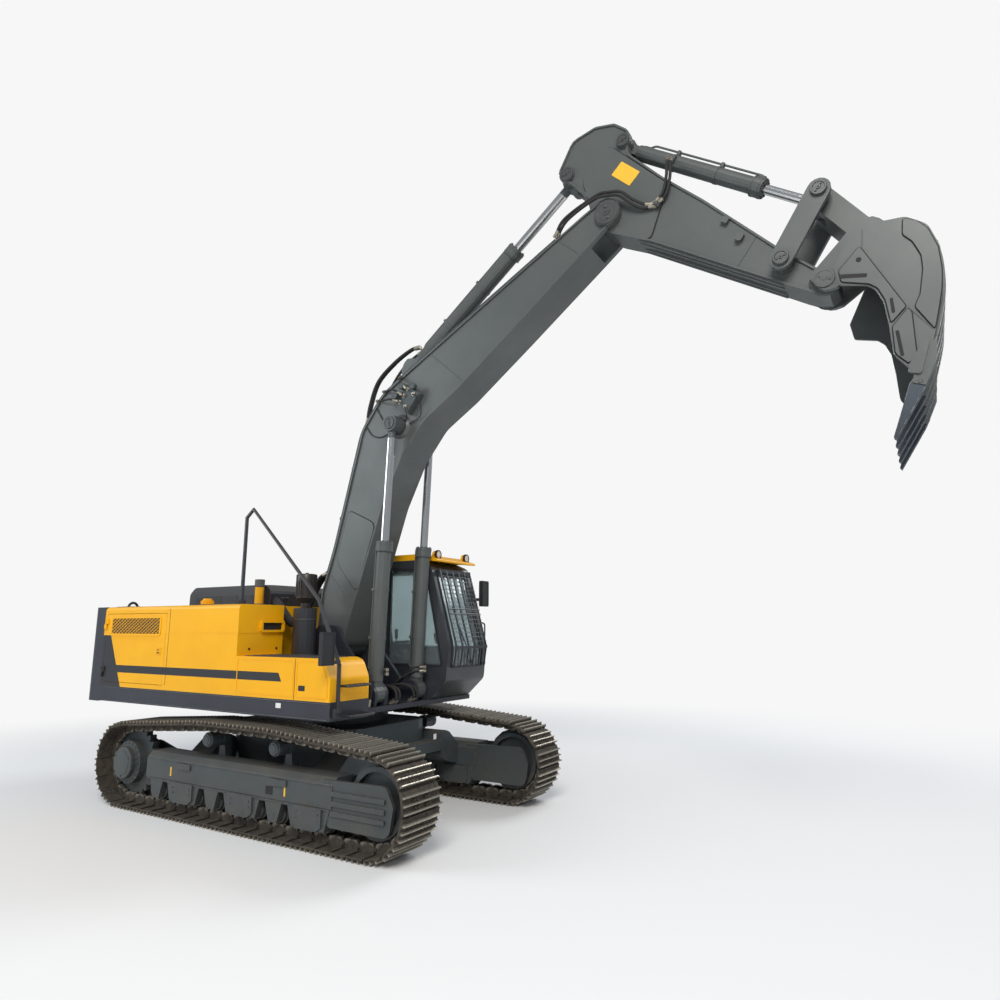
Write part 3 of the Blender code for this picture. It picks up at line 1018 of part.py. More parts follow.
def ram(sizes, closed, opened, now, gland_back, side=0.0):
    """Barrel and rod of a cylinder that lies along +X from its base eye; now is its length at rest."""
    bore_side, rod_radius, eye, half = sizes
    face = closed - gland_back
    start = eye + BARREL_NECK
    barrel = drum((start, 0, 0), face - start, bore_side, "X", 16)
    pieces = [drum((face - GLAND_LENGTH, 0, 0), GLAND_LENGTH, bore_side + GLAND_RISE, "X", 16),
              drum((0, -half, 0), half * 2, eye, "Y", 14),
              block((0, -half, -eye / 2), (start + SINK, half, eye / 2))]
    fuse(barrel, *pieces)
    carve(barrel, drum((start + BLIND, 0, 0), closed, rod_radius + PIN_GAP, "X", 16))
    length = opened - face + ROD_GRIP
    rod = drum((now - length, 0, 0), length, rod_radius, "X", 16)
    fuse(rod, drum((now, -half, 0), half * 2, eye, "Y", 14))
    return shifted(barrel, (0, side, 0)), shifted(rod, (0, side, 0))


def build_boom():
    outline = rounded(BOOM_OUTLINE, 2)
    body = prism(outline, -BOOM_HALF, BOOM_HALF)
    pocket = inset(outline, BOOM_LIP)
    carve(body, prism(pocket, BOOM_HALF - BOOM_LIP, BOOM_HALF + OVERRUN),
          prism(pocket, -BOOM_HALF - OVERRUN, -BOOM_HALF + BOOM_LIP))
    foot_half = BRACKET_IN - PIN_GAP
    pin_half = RAM_MIDDLE - BOOM_RAM[3] - PIN_GAP
    tip_half = BOOM_HALF + PIN_HEAD
    fuse(body, drum((0, -foot_half, 0), foot_half * 2, BOOM_FOOT_RADIUS, "Y", 18),
         drum((BOOM_PIN[0], -pin_half, BOOM_PIN[1]), pin_half * 2, BOOM_RAM[2], "Y", 14),
         drum((BOOM_LENGTH, -tip_half, 0), tip_half * 2, BOOM_TIP_RADIUS * HEAD_SHARE, "Y", 16),
         block(*CAST_BLOCK))
    lug_in = ARM_RAM[3] + PIN_GAP
    lugs = []
    for side in (-1, 1):
        near, far = sorted((side * lug_in, side * (lug_in + EAR_THICK)))
        lugs.append(prism(rounded(RAM_LUG_OUTLINE, 2), near, far))
    fuse(body, *lugs)
    carve(body, block((BOOM_LENGTH - FORK_BACK, -FORK_GAP, -BOOM_LENGTH), (BOOM_LENGTH + FORK_BACK, FORK_GAP, BOOM_LENGTH)))
    keep(body, "boom", "charcoal", boom)


def build_arm():
    outline = rounded(ARM_OUTLINE, 2)
    body = prism(outline, -ARM_HALF, ARM_HALF)
    pocket = inset(outline, BOOM_LIP)
    carve(body, prism(pocket, ARM_HALF - ARM_LIP, ARM_HALF + OVERRUN), prism(pocket, -ARM_HALF - OVERRUN, -ARM_HALF + ARM_LIP))
    pivot_half = FORK_GAP - PIN_GAP
    tip_half = EAR_IN - PIN_GAP
    pin_half = ARM_HALF + PIN_HEAD
    fuse(body, drum((0, -pivot_half, 0), pivot_half * 2, BOOM_TIP_RADIUS * HEAD_SHARE, "Y", 18),
         drum((ARM_LENGTH, -tip_half, 0), tip_half * 2, ARM_TIP_RADIUS, "Y", 16),
         drum((ARM_RAM_PIN[0], -pin_half, ARM_RAM_PIN[1]), pin_half * 2, ARM_RAM[2] * HEAD_SHARE, "Y", 14),
         drum((BUCKET_RAM_BASE[0], -pin_half, BUCKET_RAM_BASE[1]), pin_half * 2, BUCKET_RAM[2] * HEAD_SHARE, "Y", 14),
         drum((ROCKER_PIN[0], -ARM_HALF, ROCKER_PIN[1]), ARM_HALF * 2, ROCKER_BOSS, "Y", 14))
    slot = ARM_RAM[3] + PIN_GAP
    # one slot for each cylinder's eye
    carve(body, block((-ARM_LENGTH, -slot, -ARM_LENGTH), (ARM_SLOT_END, slot, ARM_LENGTH)),
          block((BASE_SLOT[0], -slot, BASE_SLOT[1]), (BASE_SLOT[2], slot, ARM_LENGTH)))
    keep(body, "arm", "charcoal", arm)


def build_bucket():
    back = rounded(BUCKET_BACK, 5)
    shell = prism(back + rounded(BUCKET_MOUTH, 2), -BUCKET_HALF, BUCKET_HALF)
    hollow = inset(back + [(x, z) for x, z, r in BUCKET_HOLLOW_ENDS], BUCKET_WALL)
    inside = BUCKET_HALF - BUCKET_WALL
    carve(shell, prism(hollow, -inside, inside), drum((0, -inside, 0), inside * 2, THROAT_RADIUS, "Y", 20))
    extra = []
    for side in (-1, 1):
        near, far = sorted((side * EAR_IN, side * (EAR_IN + EAR_THICK)))
        extra.append(prism(rounded(EAR_OUTLINE, 2), near, far))
        near, far = sorted((side * (EAR_IN + EAR_THICK - SINK), side * (EAR_IN + EAR_THICK + PIN_HEAD * EAR_HEAD_SHARE)))
        extra.append(drum((0, near, 0), far - near, ARM_TIP_RADIUS * HEAD_SHARE, "Y", 14))
        near, far = sorted((side * (BUCKET_HALF - SINK), side * (BUCKET_HALF + PIN_HEAD)))
        extra.append(prism(rounded(CUTTER_OUTLINE, 2), near, far))
    for k in range(TOOTH_COUNT):
        y = (BUCKET_HALF - TOOTH_HALF) * (2 * k / (TOOTH_COUNT - 1) - 1)
        extra.append(prism(rounded(ADAPTER_OUTLINE), y - TOOTH_HALF, y + TOOTH_HALF))
        extra.append(prism(rounded(TOOTH_OUTLINE), y - TOOTH_HALF * HEAD_SHARE, y + TOOTH_HALF * HEAD_SHARE))
    keep(fuse(shell, *extra), "bucket", "charcoal", bucket)


def build_linkage():
    """Rockers beside the arm and the forked link to the bucket."""
    for name, side in (("rocker_right", -1), ("rocker_left", 1)):
        radius = ROCKER_BOSS + SINK
        plate = rounded([(-radius, -radius, radius), (ROCKER_LENGTH + radius, -radius, radius),
                         (ROCKER_LENGTH + radius, radius, radius), (-radius, radius, radius)], 4)
        near, far = sorted((side * ROCKER_IN, side * (ROCKER_IN + ROCKER_THICK)))
        lever = prism(plate, near, far)
        ends = []
        for x, inner in ((0, ARM_HALF + PIN_GAP), (ROCKER_LENGTH, LINK_HALF + PIN_GAP)):
            near, far = sorted((side * inner, side * (ROCKER_IN + ROCKER_THICK + PIN_HEAD)))
            ends.append(drum((x, near, 0), far - near, ROCKER_BOSS * HEAD_SHARE, "Y", 14))
        keep(fuse(lever, *ends), name, "charcoal", rocker)
    radius = ROCKER_BOSS + SINK
    shape = rounded([(-radius, -radius, radius), (LINK_LENGTH + radius, -radius, radius),
                     (LINK_LENGTH + radius, radius, radius), (-radius, radius, radius)], 4)
    bar = prism(shape, -LINK_HALF, LINK_HALF)
    slot = LINK_IN_HALF
    carve(bar, block((-LINK_LENGTH, -slot, -LINK_LENGTH), (LINK_SLOT_END, slot, LINK_LENGTH)))
    # the rod's eye fills the fork's middle, and the far end reaches the ears
    wide = EAR_IN - PIN_GAP
    near_bosses = []
    for side in (-1, 1):
        near, far = sorted((side * (BUCKET_RAM[3] + PIN_GAP), side * (LINK_IN_HALF + SINK)))
        near_bosses.append(drum((0, near, 0), far - near, ROCKER_BOSS * HEAD_SHARE, "Y", 14))
    fuse(bar, drum((LINK_LENGTH, -wide, 0), wide * 2, ROCKER_BOSS, "Y", 14), *near_bosses)
    keep(bar, "bucket_link", "charcoal", link)


def build_rams():
    """Cylinders at rest, each barrel's frame on its base pin and turned towards its rod's pin."""
    now_turn, now = heading(RAM_FOOT, BOOM_PIN_IN_UPPER)
    home = frame("boom_ram_frame", upper, (RAM_FOOT[0], 0, RAM_FOOT[1]), now_turn)
    for name, side in (("right", -1), ("left", 1)):
        barrel, rod = ram(BOOM_RAM, BOOM_RAM_CLOSED, BOOM_RAM_OPEN, now, GLAND_BACK, side * RAM_MIDDLE)
        keep(barrel, f"boom_barrel_{name}", "charcoal", home)
        keep(rod, f"boom_rod_{name}", "chrome", home)
    now_turn, now = heading(ARM_RAM_BASE, ARM_PIN_IN_BOOM)
    home = frame("arm_ram_frame", boom, (ARM_RAM_BASE[0], 0, ARM_RAM_BASE[1]), now_turn)
    barrel, rod = ram(ARM_RAM, ARM_RAM_CLOSED, ARM_RAM_OPEN, now, ARM_GLAND_BACK)
    keep(barrel, "arm_barrel", "charcoal", home)
    keep(rod, "arm_rod", "chrome", home)
    now_turn, now = heading(BUCKET_RAM_BASE, ROCKER_TOP)
    home = frame("bucket_ram_frame", arm, (BUCKET_RAM_BASE[0], 0, BUCKET_RAM_BASE[1]), now_turn)
    barrel, rod = ram(BUCKET_RAM, BUCKET_RAM_CLOSED, BUCKET_RAM_OPEN, now, GLAND_BACK)
    keep(barrel, "bucket_barrel", "charcoal", home)
    keep(rod, "bucket_rod", "chrome", home)


build_undercarriage()
build_deck()
build_house()
build_deck_pieces()
build_cab()
build_boom()
build_arm()
build_bucket()
build_linkage()
build_rams()
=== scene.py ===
"""Looks of the crawler excavator: camera, studio, finishes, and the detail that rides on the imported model."""

import bmesh
import bpy
import numpy as np
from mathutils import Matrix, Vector


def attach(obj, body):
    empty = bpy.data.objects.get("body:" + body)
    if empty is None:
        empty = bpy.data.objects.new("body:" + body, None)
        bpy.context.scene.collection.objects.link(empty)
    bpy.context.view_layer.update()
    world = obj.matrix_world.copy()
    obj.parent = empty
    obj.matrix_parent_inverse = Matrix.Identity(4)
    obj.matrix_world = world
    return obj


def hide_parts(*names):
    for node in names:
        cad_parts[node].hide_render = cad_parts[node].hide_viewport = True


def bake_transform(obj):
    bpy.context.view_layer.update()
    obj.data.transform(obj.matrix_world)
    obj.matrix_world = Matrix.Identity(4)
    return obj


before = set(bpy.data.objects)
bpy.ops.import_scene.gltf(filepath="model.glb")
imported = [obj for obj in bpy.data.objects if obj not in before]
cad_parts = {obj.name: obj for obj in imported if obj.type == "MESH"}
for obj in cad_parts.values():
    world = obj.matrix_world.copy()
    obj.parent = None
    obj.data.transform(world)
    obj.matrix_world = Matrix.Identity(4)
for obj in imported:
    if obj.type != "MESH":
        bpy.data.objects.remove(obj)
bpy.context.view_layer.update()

scene = bpy.context.scene
AXIS_X = -1.965                         # swing axis


# ---------------------------------------------------------------- camera and studio

EYE = (5.215, -7.25, 2.31)
HEADING, CLIMB, LENS = 121.5, 10.4, 25.0
FLOOR_HALF, FLOOR_TOP = 60.0, -0.002
FADE_START, FADE_END = 7.5, 15.0        # where the floor turns into the backdrop
BACKDROP = (0.93, 0.93, 0.93, 1)

# lamp: name, place, aimed at, power in watts, size, colour
LAMPS = (("key", (9.0, -15.0, 16.0), (-0.5, 0.0, 3.0), 3100, 9.0, (1.0, 0.97, 0.93)),
         ("fill", (-14.0, -11.0, 9.0), (-2.0, 0.0, 2.5), 1050, 10.0, (0.90, 0.95, 1.0)),
         ("rim", (4.0, 15.0, 13.0), (0.0, 0.0, 3.5), 1450, 9.0, (0.96, 0.98, 1.0)))


def linked(name, data):
    """A new object of the scene."""
    thing = bpy.data.objects.new(name, data)
    scene.collection.objects.link(thing)
    return thing


def place_camera():
    """Looks from the machine's front right corner and a little upwards."""
    lens = bpy.data.cameras.new("view")
    lens.lens, lens.sensor_width, lens.clip_end = LENS, 36, 300
    camera = linked("view", lens)
    turn, rise = np.radians(HEADING), np.radians(CLIMB)
    way = Vector((np.cos(rise) * np.cos(turn), np.cos(rise) * np.sin(turn), np.sin(rise)))
    camera.rotation_euler = way.to_track_quat("-Z", "Y").to_euler()
    camera.location = EYE
    scene.camera = camera


def seen_directly(tree):
    """1 for rays from the camera, also through glass, and 0 for all others."""
    rays = node(tree, "ShaderNodeLightPath").outputs
    return maths(tree, "MAXIMUM", rays["Is Camera Ray"], rays["Is Transmission Ray"])


def build_floor():
    """A pale floor that keeps the shadow; far from the machine it turns into the backdrop's own tone."""
    mesh = bpy.data.meshes.new("studio_floor")
    mesh.from_pydata([(x * FLOOR_HALF, y * FLOOR_HALF, FLOOR_TOP) for x, y in ((-1, -1), (1, -1), (1, 1), (-1, 1))],
                     [], [(0, 1, 2, 3)])
    paint, tree, shader = new_material("studio_floor")
    feed(tree, shader, {"Base Color": (0.89, 0.89, 0.885, 1), "Roughness": 0.9})
    reach = node(tree, "ShaderNodeVectorMath", {0: object_place(tree)}, operation="LENGTH").outputs["Value"]
    away = node(tree, "ShaderNodeMapRange", {"Value": reach, "From Min": FADE_START, "From Max": FADE_END},
                interpolation_type="SMOOTHSTEP").outputs[0]
    glow = node(tree, "ShaderNodeEmission", {"Color": BACKDROP}).outputs[0]
    whole = node(tree, "ShaderNodeMixShader", {0: maths(tree, "MULTIPLY", away, seen_directly(tree)),
                                              1: shader.outputs[0], 2: glow})
    tree.links.new(whole.outputs[0], tree.nodes["Material Output"].inputs["Surface"])
    mesh.materials.append(paint)
    linked("studio_floor", mesh)


def build_studio():
    """The floor, a pale world for the eye and a soft one for light, and the lamps."""
    build_floor()
    world = bpy.data.worlds.new("studio")
    world.use_nodes = True
    scene.world = world
    tree = world.node_tree
    tree.nodes.clear()
    soft = node(tree, "ShaderNodeBackground", {"Color": (0.80, 0.85, 0.92, 1), "Strength": 0.38}).outputs[0]
    pale = node(tree, "ShaderNodeBackground", {"Color": BACKDROP, "Strength": 1.0}).outputs[0]
    sky = node(tree, "ShaderNodeMixShader", {0: seen_directly(tree), 1: soft, 2: pale}).outputs[0]
    node(tree, "ShaderNodeOutputWorld", {"Surface": sky})
    for name, place, aim, power, size, colour in LAMPS:
        light = bpy.data.lights.new(name, "AREA")
        light.energy, light.size, light.color = power, size, colour
        lamp = linked(name, light)
        lamp.location = place
        lamp.rotation_euler = (Vector(aim) - Vector(place)).to_track_quat("-Z", "Y").to_euler()
    scene.view_settings.view_transform = "Standard"


# ---------------------------------------------------------------- nodes and finishes

def feed(tree, made, values):
    """Each socket gets a number or colour, or a link from the socket that feeds it."""
    for socket, value in values.items():
        if isinstance(value, bpy.types.NodeSocket):
            tree.links.new(value, made.inputs[socket])
        else:
            made.inputs[socket].default_value = value


def node(tree, kind, values=None, **settings):
    """One node with its settings and values."""
    made = tree.nodes.new(kind)
    made.location = 200 * len(tree.nodes), 0
    for name, value in settings.items():
        setattr(made, name, value)
    feed(tree, made, values or {})
    return made


def object_place(tree):
    return node(tree, "ShaderNodeTexCoord").outputs["Object"]


def noise(tree, scale, detail, roughness=0.5):
    """Noise over the object's own coordinates."""
    return node(tree, "ShaderNodeTexNoise", {"Vector": object_place(tree), "Scale": scale, "Detail": detail,
                                            "Roughness": roughness}).outputs[0]


def maths(tree, operation, *values, clamp=False):
    return node(tree, "ShaderNodeMath", dict(enumerate(values)), operation=operation, use_clamp=clamp).outputs[0]


def ranged(tree, value, low, high, to_low=0.0, to_high=1.0):
    """A value carried from one range to another and held at its ends."""
    return node(tree, "ShaderNodeMapRange", {"Value": value, "From Min": low, "From Max": high, "To Min": to_low,
                                            "To Max": to_high}).outputs[0]


def mixed(tree, share, first, second):
    """Two colours by a share from 0 to 1; each is (r, g, b) or a socket."""
    first, second = [end if isinstance(end, bpy.types.NodeSocket) else (*end, 1) for end in (first, second)]
    return node(tree, "ShaderNodeMix", {0: share, 6: first, 7: second}, data_type="RGBA").outputs[2]


def bumped(tree, height, strength, distance):
    return node(tree, "ShaderNodeBump", {"Height": height, "Strength": strength, "Distance": distance}).outputs[0]


def new_material(name):
    """A material with its node tree and its shader."""
    made = bpy.data.materials.new(name)
    made.use_nodes = True
    return made, made.node_tree, made.node_tree.nodes["Principled BSDF"]


GROUPS = {}


def start_group(name, outputs, **inputs):
    """A shader node group whose named sockets carry numbers, and the sockets going in."""
    group = GROUPS[name] = bpy.data.node_groups.new(name, "ShaderNodeTree")
    for label, value in inputs.items():
        socket = group.interface.new_socket(label.replace("_", " "), in_out="INPUT", socket_type="NodeSocketFloat")
        socket.default_value = value
    for label in outputs:
        group.interface.new_socket(label, in_out="OUTPUT", socket_type="NodeSocketFloat")
    return group, node(group, "NodeGroupInput").outputs


def use_group(tree, name, **values):
    """The outputs of the shared group in this tree, with this material's own values."""
    values = {label.replace("_", " "): value for label, value in values.items()}
    return node(tree, "ShaderNodeGroup", values, node_tree=GROUPS[name]).outputs


def build_edge_wear():
    """Mask of worn edges: how far a bevelled normal turns from the true one, broken up by noise."""
    group, given = start_group("edge_wear", ("Mask",), Width=0.01, Breakup=18.0, Amount=1.0)
    bevel = node(group, "ShaderNodeBevel", {"Radius": given["Width"]}, samples=4).outputs[0]
    true = node(group, "ShaderNodeNewGeometry").outputs["Normal"]
    dot = node(group, "ShaderNodeVectorMath", {0: bevel, 1: true}, operation="DOT_PRODUCT").outputs["Value"]
    broken = ranged(group, noise(group, given["Breakup"], 5.0), 0.46, 0.60)
    edges = maths(group, "MULTIPLY", ranged(group, dot, 0.985, 0.80), broken)
    node(group, "NodeGroupOutput", {"Mask": maths(group, "MULTIPLY", edges, given["Amount"], clamp=True)})


def build_dust():
    """Mask of settled dust: more on faces that look up and near the ground, in soft patches."""
    group, given = start_group("dust", ("Mask",), Top_Amount=0.3, Low_Amount=0.3, Low_Height=1.0, Scale=3.0)
    normal = node(group, "ShaderNodeNewGeometry").outputs["Normal"]
    up = node(group, "ShaderNodeSeparateXYZ", {0: normal}).outputs["Z"]
    height = node(group, "ShaderNodeSeparateXYZ", {0: object_place(group)}).outputs["Z"]
    top = maths(group, "MULTIPLY", ranged(group, up, 0.3, 0.95), given["Top Amount"])
    low = maths(group, "MULTIPLY", ranged(group, height, given["Low Height"], 0.0), given["Low Amount"])
    patch = ranged(group, noise(group, given["Scale"], 8.0, 0.65), 0.30, 0.72, 0.25, 1.3)
    settled = maths(group, "MULTIPLY", maths(group, "ADD", top, low), patch, clamp=True)
    node(group, "NodeGroupOutput", {"Mask": settled})


def build_grain():
    """Fine relief of a sprayed coat, and a slow unevenness of its tone."""
    group, given = start_group("spray_grain", ("Height", "Tone"), Grain_Scale=260.0, Cloud_Scale=1.6)
    tone = ranged(group, noise(group, given["Cloud Scale"], 4.0, 0.6), 0.3, 0.7)
    node(group, "NodeGroupOutput", {"Height": noise(group, given["Grain Scale"], 2.0), "Tone": tone})


def build_stripe():
    """Mask of the dark band on both sides: a level stripe with a slanted front end, and a wedge at its rear."""
    group, given = start_group("side_stripe", ("Mask",), Front_End=-1.33)
    axes = node(group, "ShaderNodeSeparateXYZ", {0: object_place(group)}).outputs
    x, z = axes["X"], axes["Z"]

    def test(operation, *values):
        return maths(group, operation, *values)

    side = test("GREATER_THAN", test("ABSOLUTE", axes["Y"]), 1.486)
    band = test("MULTIPLY", test("GREATER_THAN", z, 1.690), test("LESS_THAN", z, 1.790))
    slant = test("ADD", x, test("MULTIPLY", z, 0.55))
    band = test("MULTIPLY", band, test("LESS_THAN", slant, test("ADD", given["Front End"], 0.98)))
    lean = test("ADD", x, test("MULTIPLY", z, 0.48))
    wedge = test("MULTIPLY", test("LESS_THAN", lean, -3.825), test("LESS_THAN", z, 2.20))
    node(group, "NodeGroupOutput", {"Mask": test("MULTIPLY", test("MAXIMUM", band, wedge), side)})


DUST_TAN = (0.20, 0.155, 0.105)
STRIPE_DARK = (0.030, 0.033, 0.038)
FORGED_GREY = (0.085, 0.098, 0.100)
FINE_RELIEF = 0.0007                    # a relief below this has the finer grain
ROD_EYE = 0.200                         # how far from its pin a rod is painted

# finish: colour, second tone, roughness, metallic, coat, relief,
#         edge colour, edge width, edge amount, dust on top, dust below
PAINTS = {
    "equipment_grey": ((0.098, 0.109, 0.105), (0.080, 0.090, 0.088), 0.42, 0.12, 0.15, 0.0004,
                       (0.17, 0.175, 0.17), 0.008, 0.40, 0.10, 0.0),
    "frame_grey": ((0.050, 0.066, 0.072), (0.037, 0.048, 0.053), 0.48, 0.10, 0.15, 0.0006,
                   (0.17, 0.18, 0.18), 0.010, 0.60, 0.26, 0.26),
    "ballast_grey": ((0.029, 0.033, 0.045), (0.024, 0.027, 0.037), 0.42, 0.08, 0.15, 0.0005,
                     (0.10, 0.11, 0.13), 0.008, 0.35, 0.12, 0.0),
    "cab_grey": ((0.040, 0.046, 0.054), (0.033, 0.038, 0.045), 0.38, 0.10, 0.30, 0.0004,
                 (0.12, 0.13, 0.14), 0.006, 0.30, 0.15, 0.0),
    "panel_yellow": ((0.93, 0.46, 0.005), (0.87, 0.42, 0.005), 0.38, 0.0, 0.15, 0.0003,
                     (0.95, 0.55, 0.07), 0.006, 0.25, 0.06, 0.0),
    "lid_black": ((0.020, 0.022, 0.027), (0.028, 0.031, 0.038), 0.42, 0.0, 0.25, 0.0005,
                  (0.08, 0.085, 0.095), 0.006, 0.35, 0.25, 0.0),
    "cleaner_bronze": ((0.060, 0.052, 0.045), (0.045, 0.040, 0.036), 0.32, 0.55, 0.10, 0.0004,
                       (0.16, 0.13, 0.10), 0.006, 0.50, 0.20, 0.0),
    "moulded_black": ((0.016, 0.017, 0.019), (0.022, 0.023, 0.026), 0.62, 0.0, 0.0, 0.0008,
                      (0.05, 0.05, 0.055), 0.004, 0.30, 0.15, 0.0),
    "hose_rubber": ((0.013, 0.013, 0.014), (0.021, 0.021, 0.022), 0.66, 0.0, 0.0, 0.0006,
                    (0.04, 0.04, 0.04), 0.003, 0.20, 0.20, 0.0),
    "engine_iron": ((0.16, 0.16, 0.155), (0.10, 0.10, 0.10), 0.60, 0.40, 0.0, 0.0010,
                    (0.30, 0.29, 0.28), 0.008, 0.50, 0.20, 0.0),
    "zinc_fitting": ((0.42, 0.39, 0.31), (0.33, 0.31, 0.26), 0.36, 0.85, 0.0, 0.0003,
                     (0.62, 0.60, 0.55), 0.002, 0.50, 0.10, 0.0),
    "bolt_steel": ((0.115, 0.12, 0.12), (0.085, 0.09, 0.09), 0.42, 0.65, 0.0, 0.0003,
                   (0.34, 0.34, 0.33), 0.002, 0.60, 0.15, 0.0),
    "bare_plate_white": ((0.80, 0.80, 0.78), (0.74, 0.74, 0.71), 0.45, 0.0, 0.2, 0.0001,
                         (0.6, 0.6, 0.58), 0.002, 0.30, 0.10, 0.0),
    "bare_plate_yellow": ((0.87, 0.52, 0.035), (0.80, 0.46, 0.03), 0.42, 0.0, 0.2, 0.0001,
                          (0.65, 0.42, 0.08), 0.002, 0.30, 0.08, 0.0),
    "tooth_steel": ((0.075, 0.090, 0.110), (0.050, 0.056, 0.064), 0.34, 0.75, 0.0, 0.0008,
                    (0.46, 0.46, 0.45), 0.010, 0.85, 0.10, 0.0),
    "seat_cloth": ((0.035, 0.036, 0.040), (0.024, 0.025, 0.028), 0.90, 0.0, 0.0, 0.0020,
                   (0.05, 0.05, 0.055), 0.004, 0.15, 0.08, 0.0),
    "signal_red": ((0.55, 0.020, 0.015), (0.46, 0.018, 0.012), 0.22, 0.0, 0.5, 0.0001,
                   (0.60, 0.06, 0.04), 0.002, 0.10, 0.05, 0.0),
}


def make_paint(name, stripe_end=None):
    """A sprayed finish: two close tones, orange-peel relief, worn edges and settled dust."""
    base = name.split("-")[0]
    colour, second, rough, metal, coat, relief, edge, width, worn, top, low = PAINTS[base]
    made, tree, shader = new_material(name)
    grain = use_group(tree, "spray_grain", Grain_Scale=420.0 if relief < FINE_RELIEF else 160.0)
    wear = use_group(tree, "edge_wear", Width=width, Amount=worn)["Mask"]
    dust = use_group(tree, "dust", Top_Amount=top, Low_Amount=low)["Mask"]
    painted = mixed(tree, grain["Tone"], colour, second)
    if stripe_end is not None:
        stripe = use_group(tree, "side_stripe", Front_End=stripe_end)["Mask"]
        painted = mixed(tree, stripe, painted, STRIPE_DARK)
    edged = mixed(tree, wear, painted, edge)
    roughness = maths(tree, "MULTIPLY_ADD", grain["Tone"], 0.08, ranged(tree, dust, 0.0, 1.0, rough, 0.9))
    feed(tree, shader, {"Base Color": mixed(tree, dust, edged, DUST_TAN), "Roughness": roughness,
                        "Normal": bumped(tree, grain["Height"], 0.35, relief), "Metallic": metal, "Coat Weight": coat,
                        "Coat Roughness": 0.22, "Specular IOR Level": 0.25 if base == "panel_yellow" else 0.45})
    return made


def make_track_steel():
    """Shoes: brown with dried soil, their ridges and rail faces rubbed bright where the attribute says."""
    made, tree, shader = new_material("track_steel")
    worn = node(tree, "ShaderNodeAttribute", attribute_name="worn").outputs["Fac"]
    soil = noise(tree, 14.0, 8.0, 0.7)
    ramp = node(tree, "ShaderNodeValToRGB", {0: soil})
    for stop, position, tone in zip(ramp.color_ramp.elements, (0.32, 0.70),
                                    ((0.030, 0.028, 0.026, 1), (0.105, 0.084, 0.060, 1))):
        stop.position, stop.color = position, tone
    patch = ranged(tree, noise(tree, 55.0, 3.0), 0.30, 0.50, 0.35, 1.0)
    rubbed = maths(tree, "MULTIPLY", worn, patch, clamp=True)
    feed(tree, shader, {"Base Color": mixed(tree, rubbed, ramp.outputs[0], (0.46, 0.42, 0.35)),
                        "Roughness": ranged(tree, rubbed, 0.0, 1.0, 0.80, 0.34),
                        "Metallic": ranged(tree, rubbed, 0.0, 1.0, 0.25, 0.85),
                        "Normal": bumped(tree, soil, 0.5, 0.004)})
    return made


def make_chrome(name, eye=None):
    """Hard chrome with faint wiped rings; round the eye at (x, z) the forging is painted grey."""
    made, tree, shader = new_material(name)
    rings = noise(tree, 30.0, 3.0)
    colour = mixed(tree, rings, (0.78, 0.78, 0.77), (0.66, 0.66, 0.65))
    rough, metal = ranged(tree, rings, 0.0, 1.0, 0.08, 0.22), 1.0
    if eye:
        level = node(tree, "ShaderNodeVectorMath", {0: object_place(tree), 1: (1, 0, 1)}, operation="MULTIPLY")
        far = node(tree, "ShaderNodeVectorMath", {0: level.outputs[0], 1: (eye[0], 0, eye[1])}, operation="DISTANCE")
        bare = maths(tree, "GREATER_THAN", far.outputs["Value"], ROD_EYE)
        colour = mixed(tree, bare, FORGED_GREY, colour)
        rough, metal = [node(tree, "ShaderNodeMix", {0: bare, 2: painted, 3: polished}, data_type="FLOAT").outputs[0]
                        for painted, polished in ((0.42, rough), (0.15, metal))]
    feed(tree, shader, {"Base Color": colour, "Roughness": rough, "Metallic": metal})
    return made


def make_glass(name, tint, transmission, rough):
    """Cab or lamp glass: plain transmission, with a thin film of dust that is thicker in patches."""
    made, tree, shader = new_material(name)
    film = noise(tree, 6.0, 6.0)
    feed(tree, shader, {"Base Color": mixed(tree, film, tint, [c * 0.9 for c in tint]),
                        "Roughness": ranged(tree, film, 0.35, 0.8, rough, rough + 0.10),
                        "Transmission Weight": transmission, "IOR": 1.45})
    return made


def make_finishes():
    """Every finish by name."""
    for build_group in (build_edge_wear, build_dust, build_grain, build_stripe):
        build_group()
    made = {name: make_paint(name) for name in PAINTS}
    made["panel_yellow-striped"] = make_paint("panel_yellow-striped", -1.345)
    made["track_steel"] = make_track_steel()
    for label, eye in (("boom", BOOM_ROD_PIN), ("arm", ARM_ROD_PIN), ("bucket", ROCKER_TOP)):
        made[f"{label}_rod_chrome"] = make_chrome(f"{label}_rod_chrome", eye)
    made["cab_glass"] = make_glass("cab_glass", (0.62, 0.72, 0.74), 0.85, 0.03)
    made["lamp_glass"] = make_glass("lamp_glass", (0.92, 0.93, 0.90), 0.45, 0.06)
    made["mirror_face"] = make_chrome("mirror_face")
    return made


# starts of the CAD nodes' names by finish; the longest start that fits a name is taken
NODE_FINISHES = {
    "frame_grey": ("track_frame", "sprocket", "idler", "car_body", "slewing_ring"),
    "track_steel": ("track",),
    "ballast_grey": ("counterweight", "revolving_frame"),
    "panel_yellow-striped": ("house_shell", "fuel_tank", "tool_box", "right_rear_door", "left_rear_door",
                             "left_mid_door"),
    "panel_yellow": ("filler_cap", "exhaust_pipe", "roof_visor"),
    "lid_black": ("engine_hood", "air_filter", "handrail", "front_guard"),
    "engine_iron": ("engine_block",),
    "moulded_black": ("radiator", "mirror", "console"),
    "cleaner_bronze": ("precleaner",),
    "cab_grey": ("cab_shell", "cab_door"),
    "cab_glass": ("pane",),
    "seat_cloth": ("seat",),
    "arm_rod_chrome": ("arm_rod",),
    "boom_rod_chrome": ("boom_rod",),
    "bucket_rod_chrome": ("bucket_rod",),
    "equipment_grey": ("arm", "boom", "bucket", "rocker"),
}


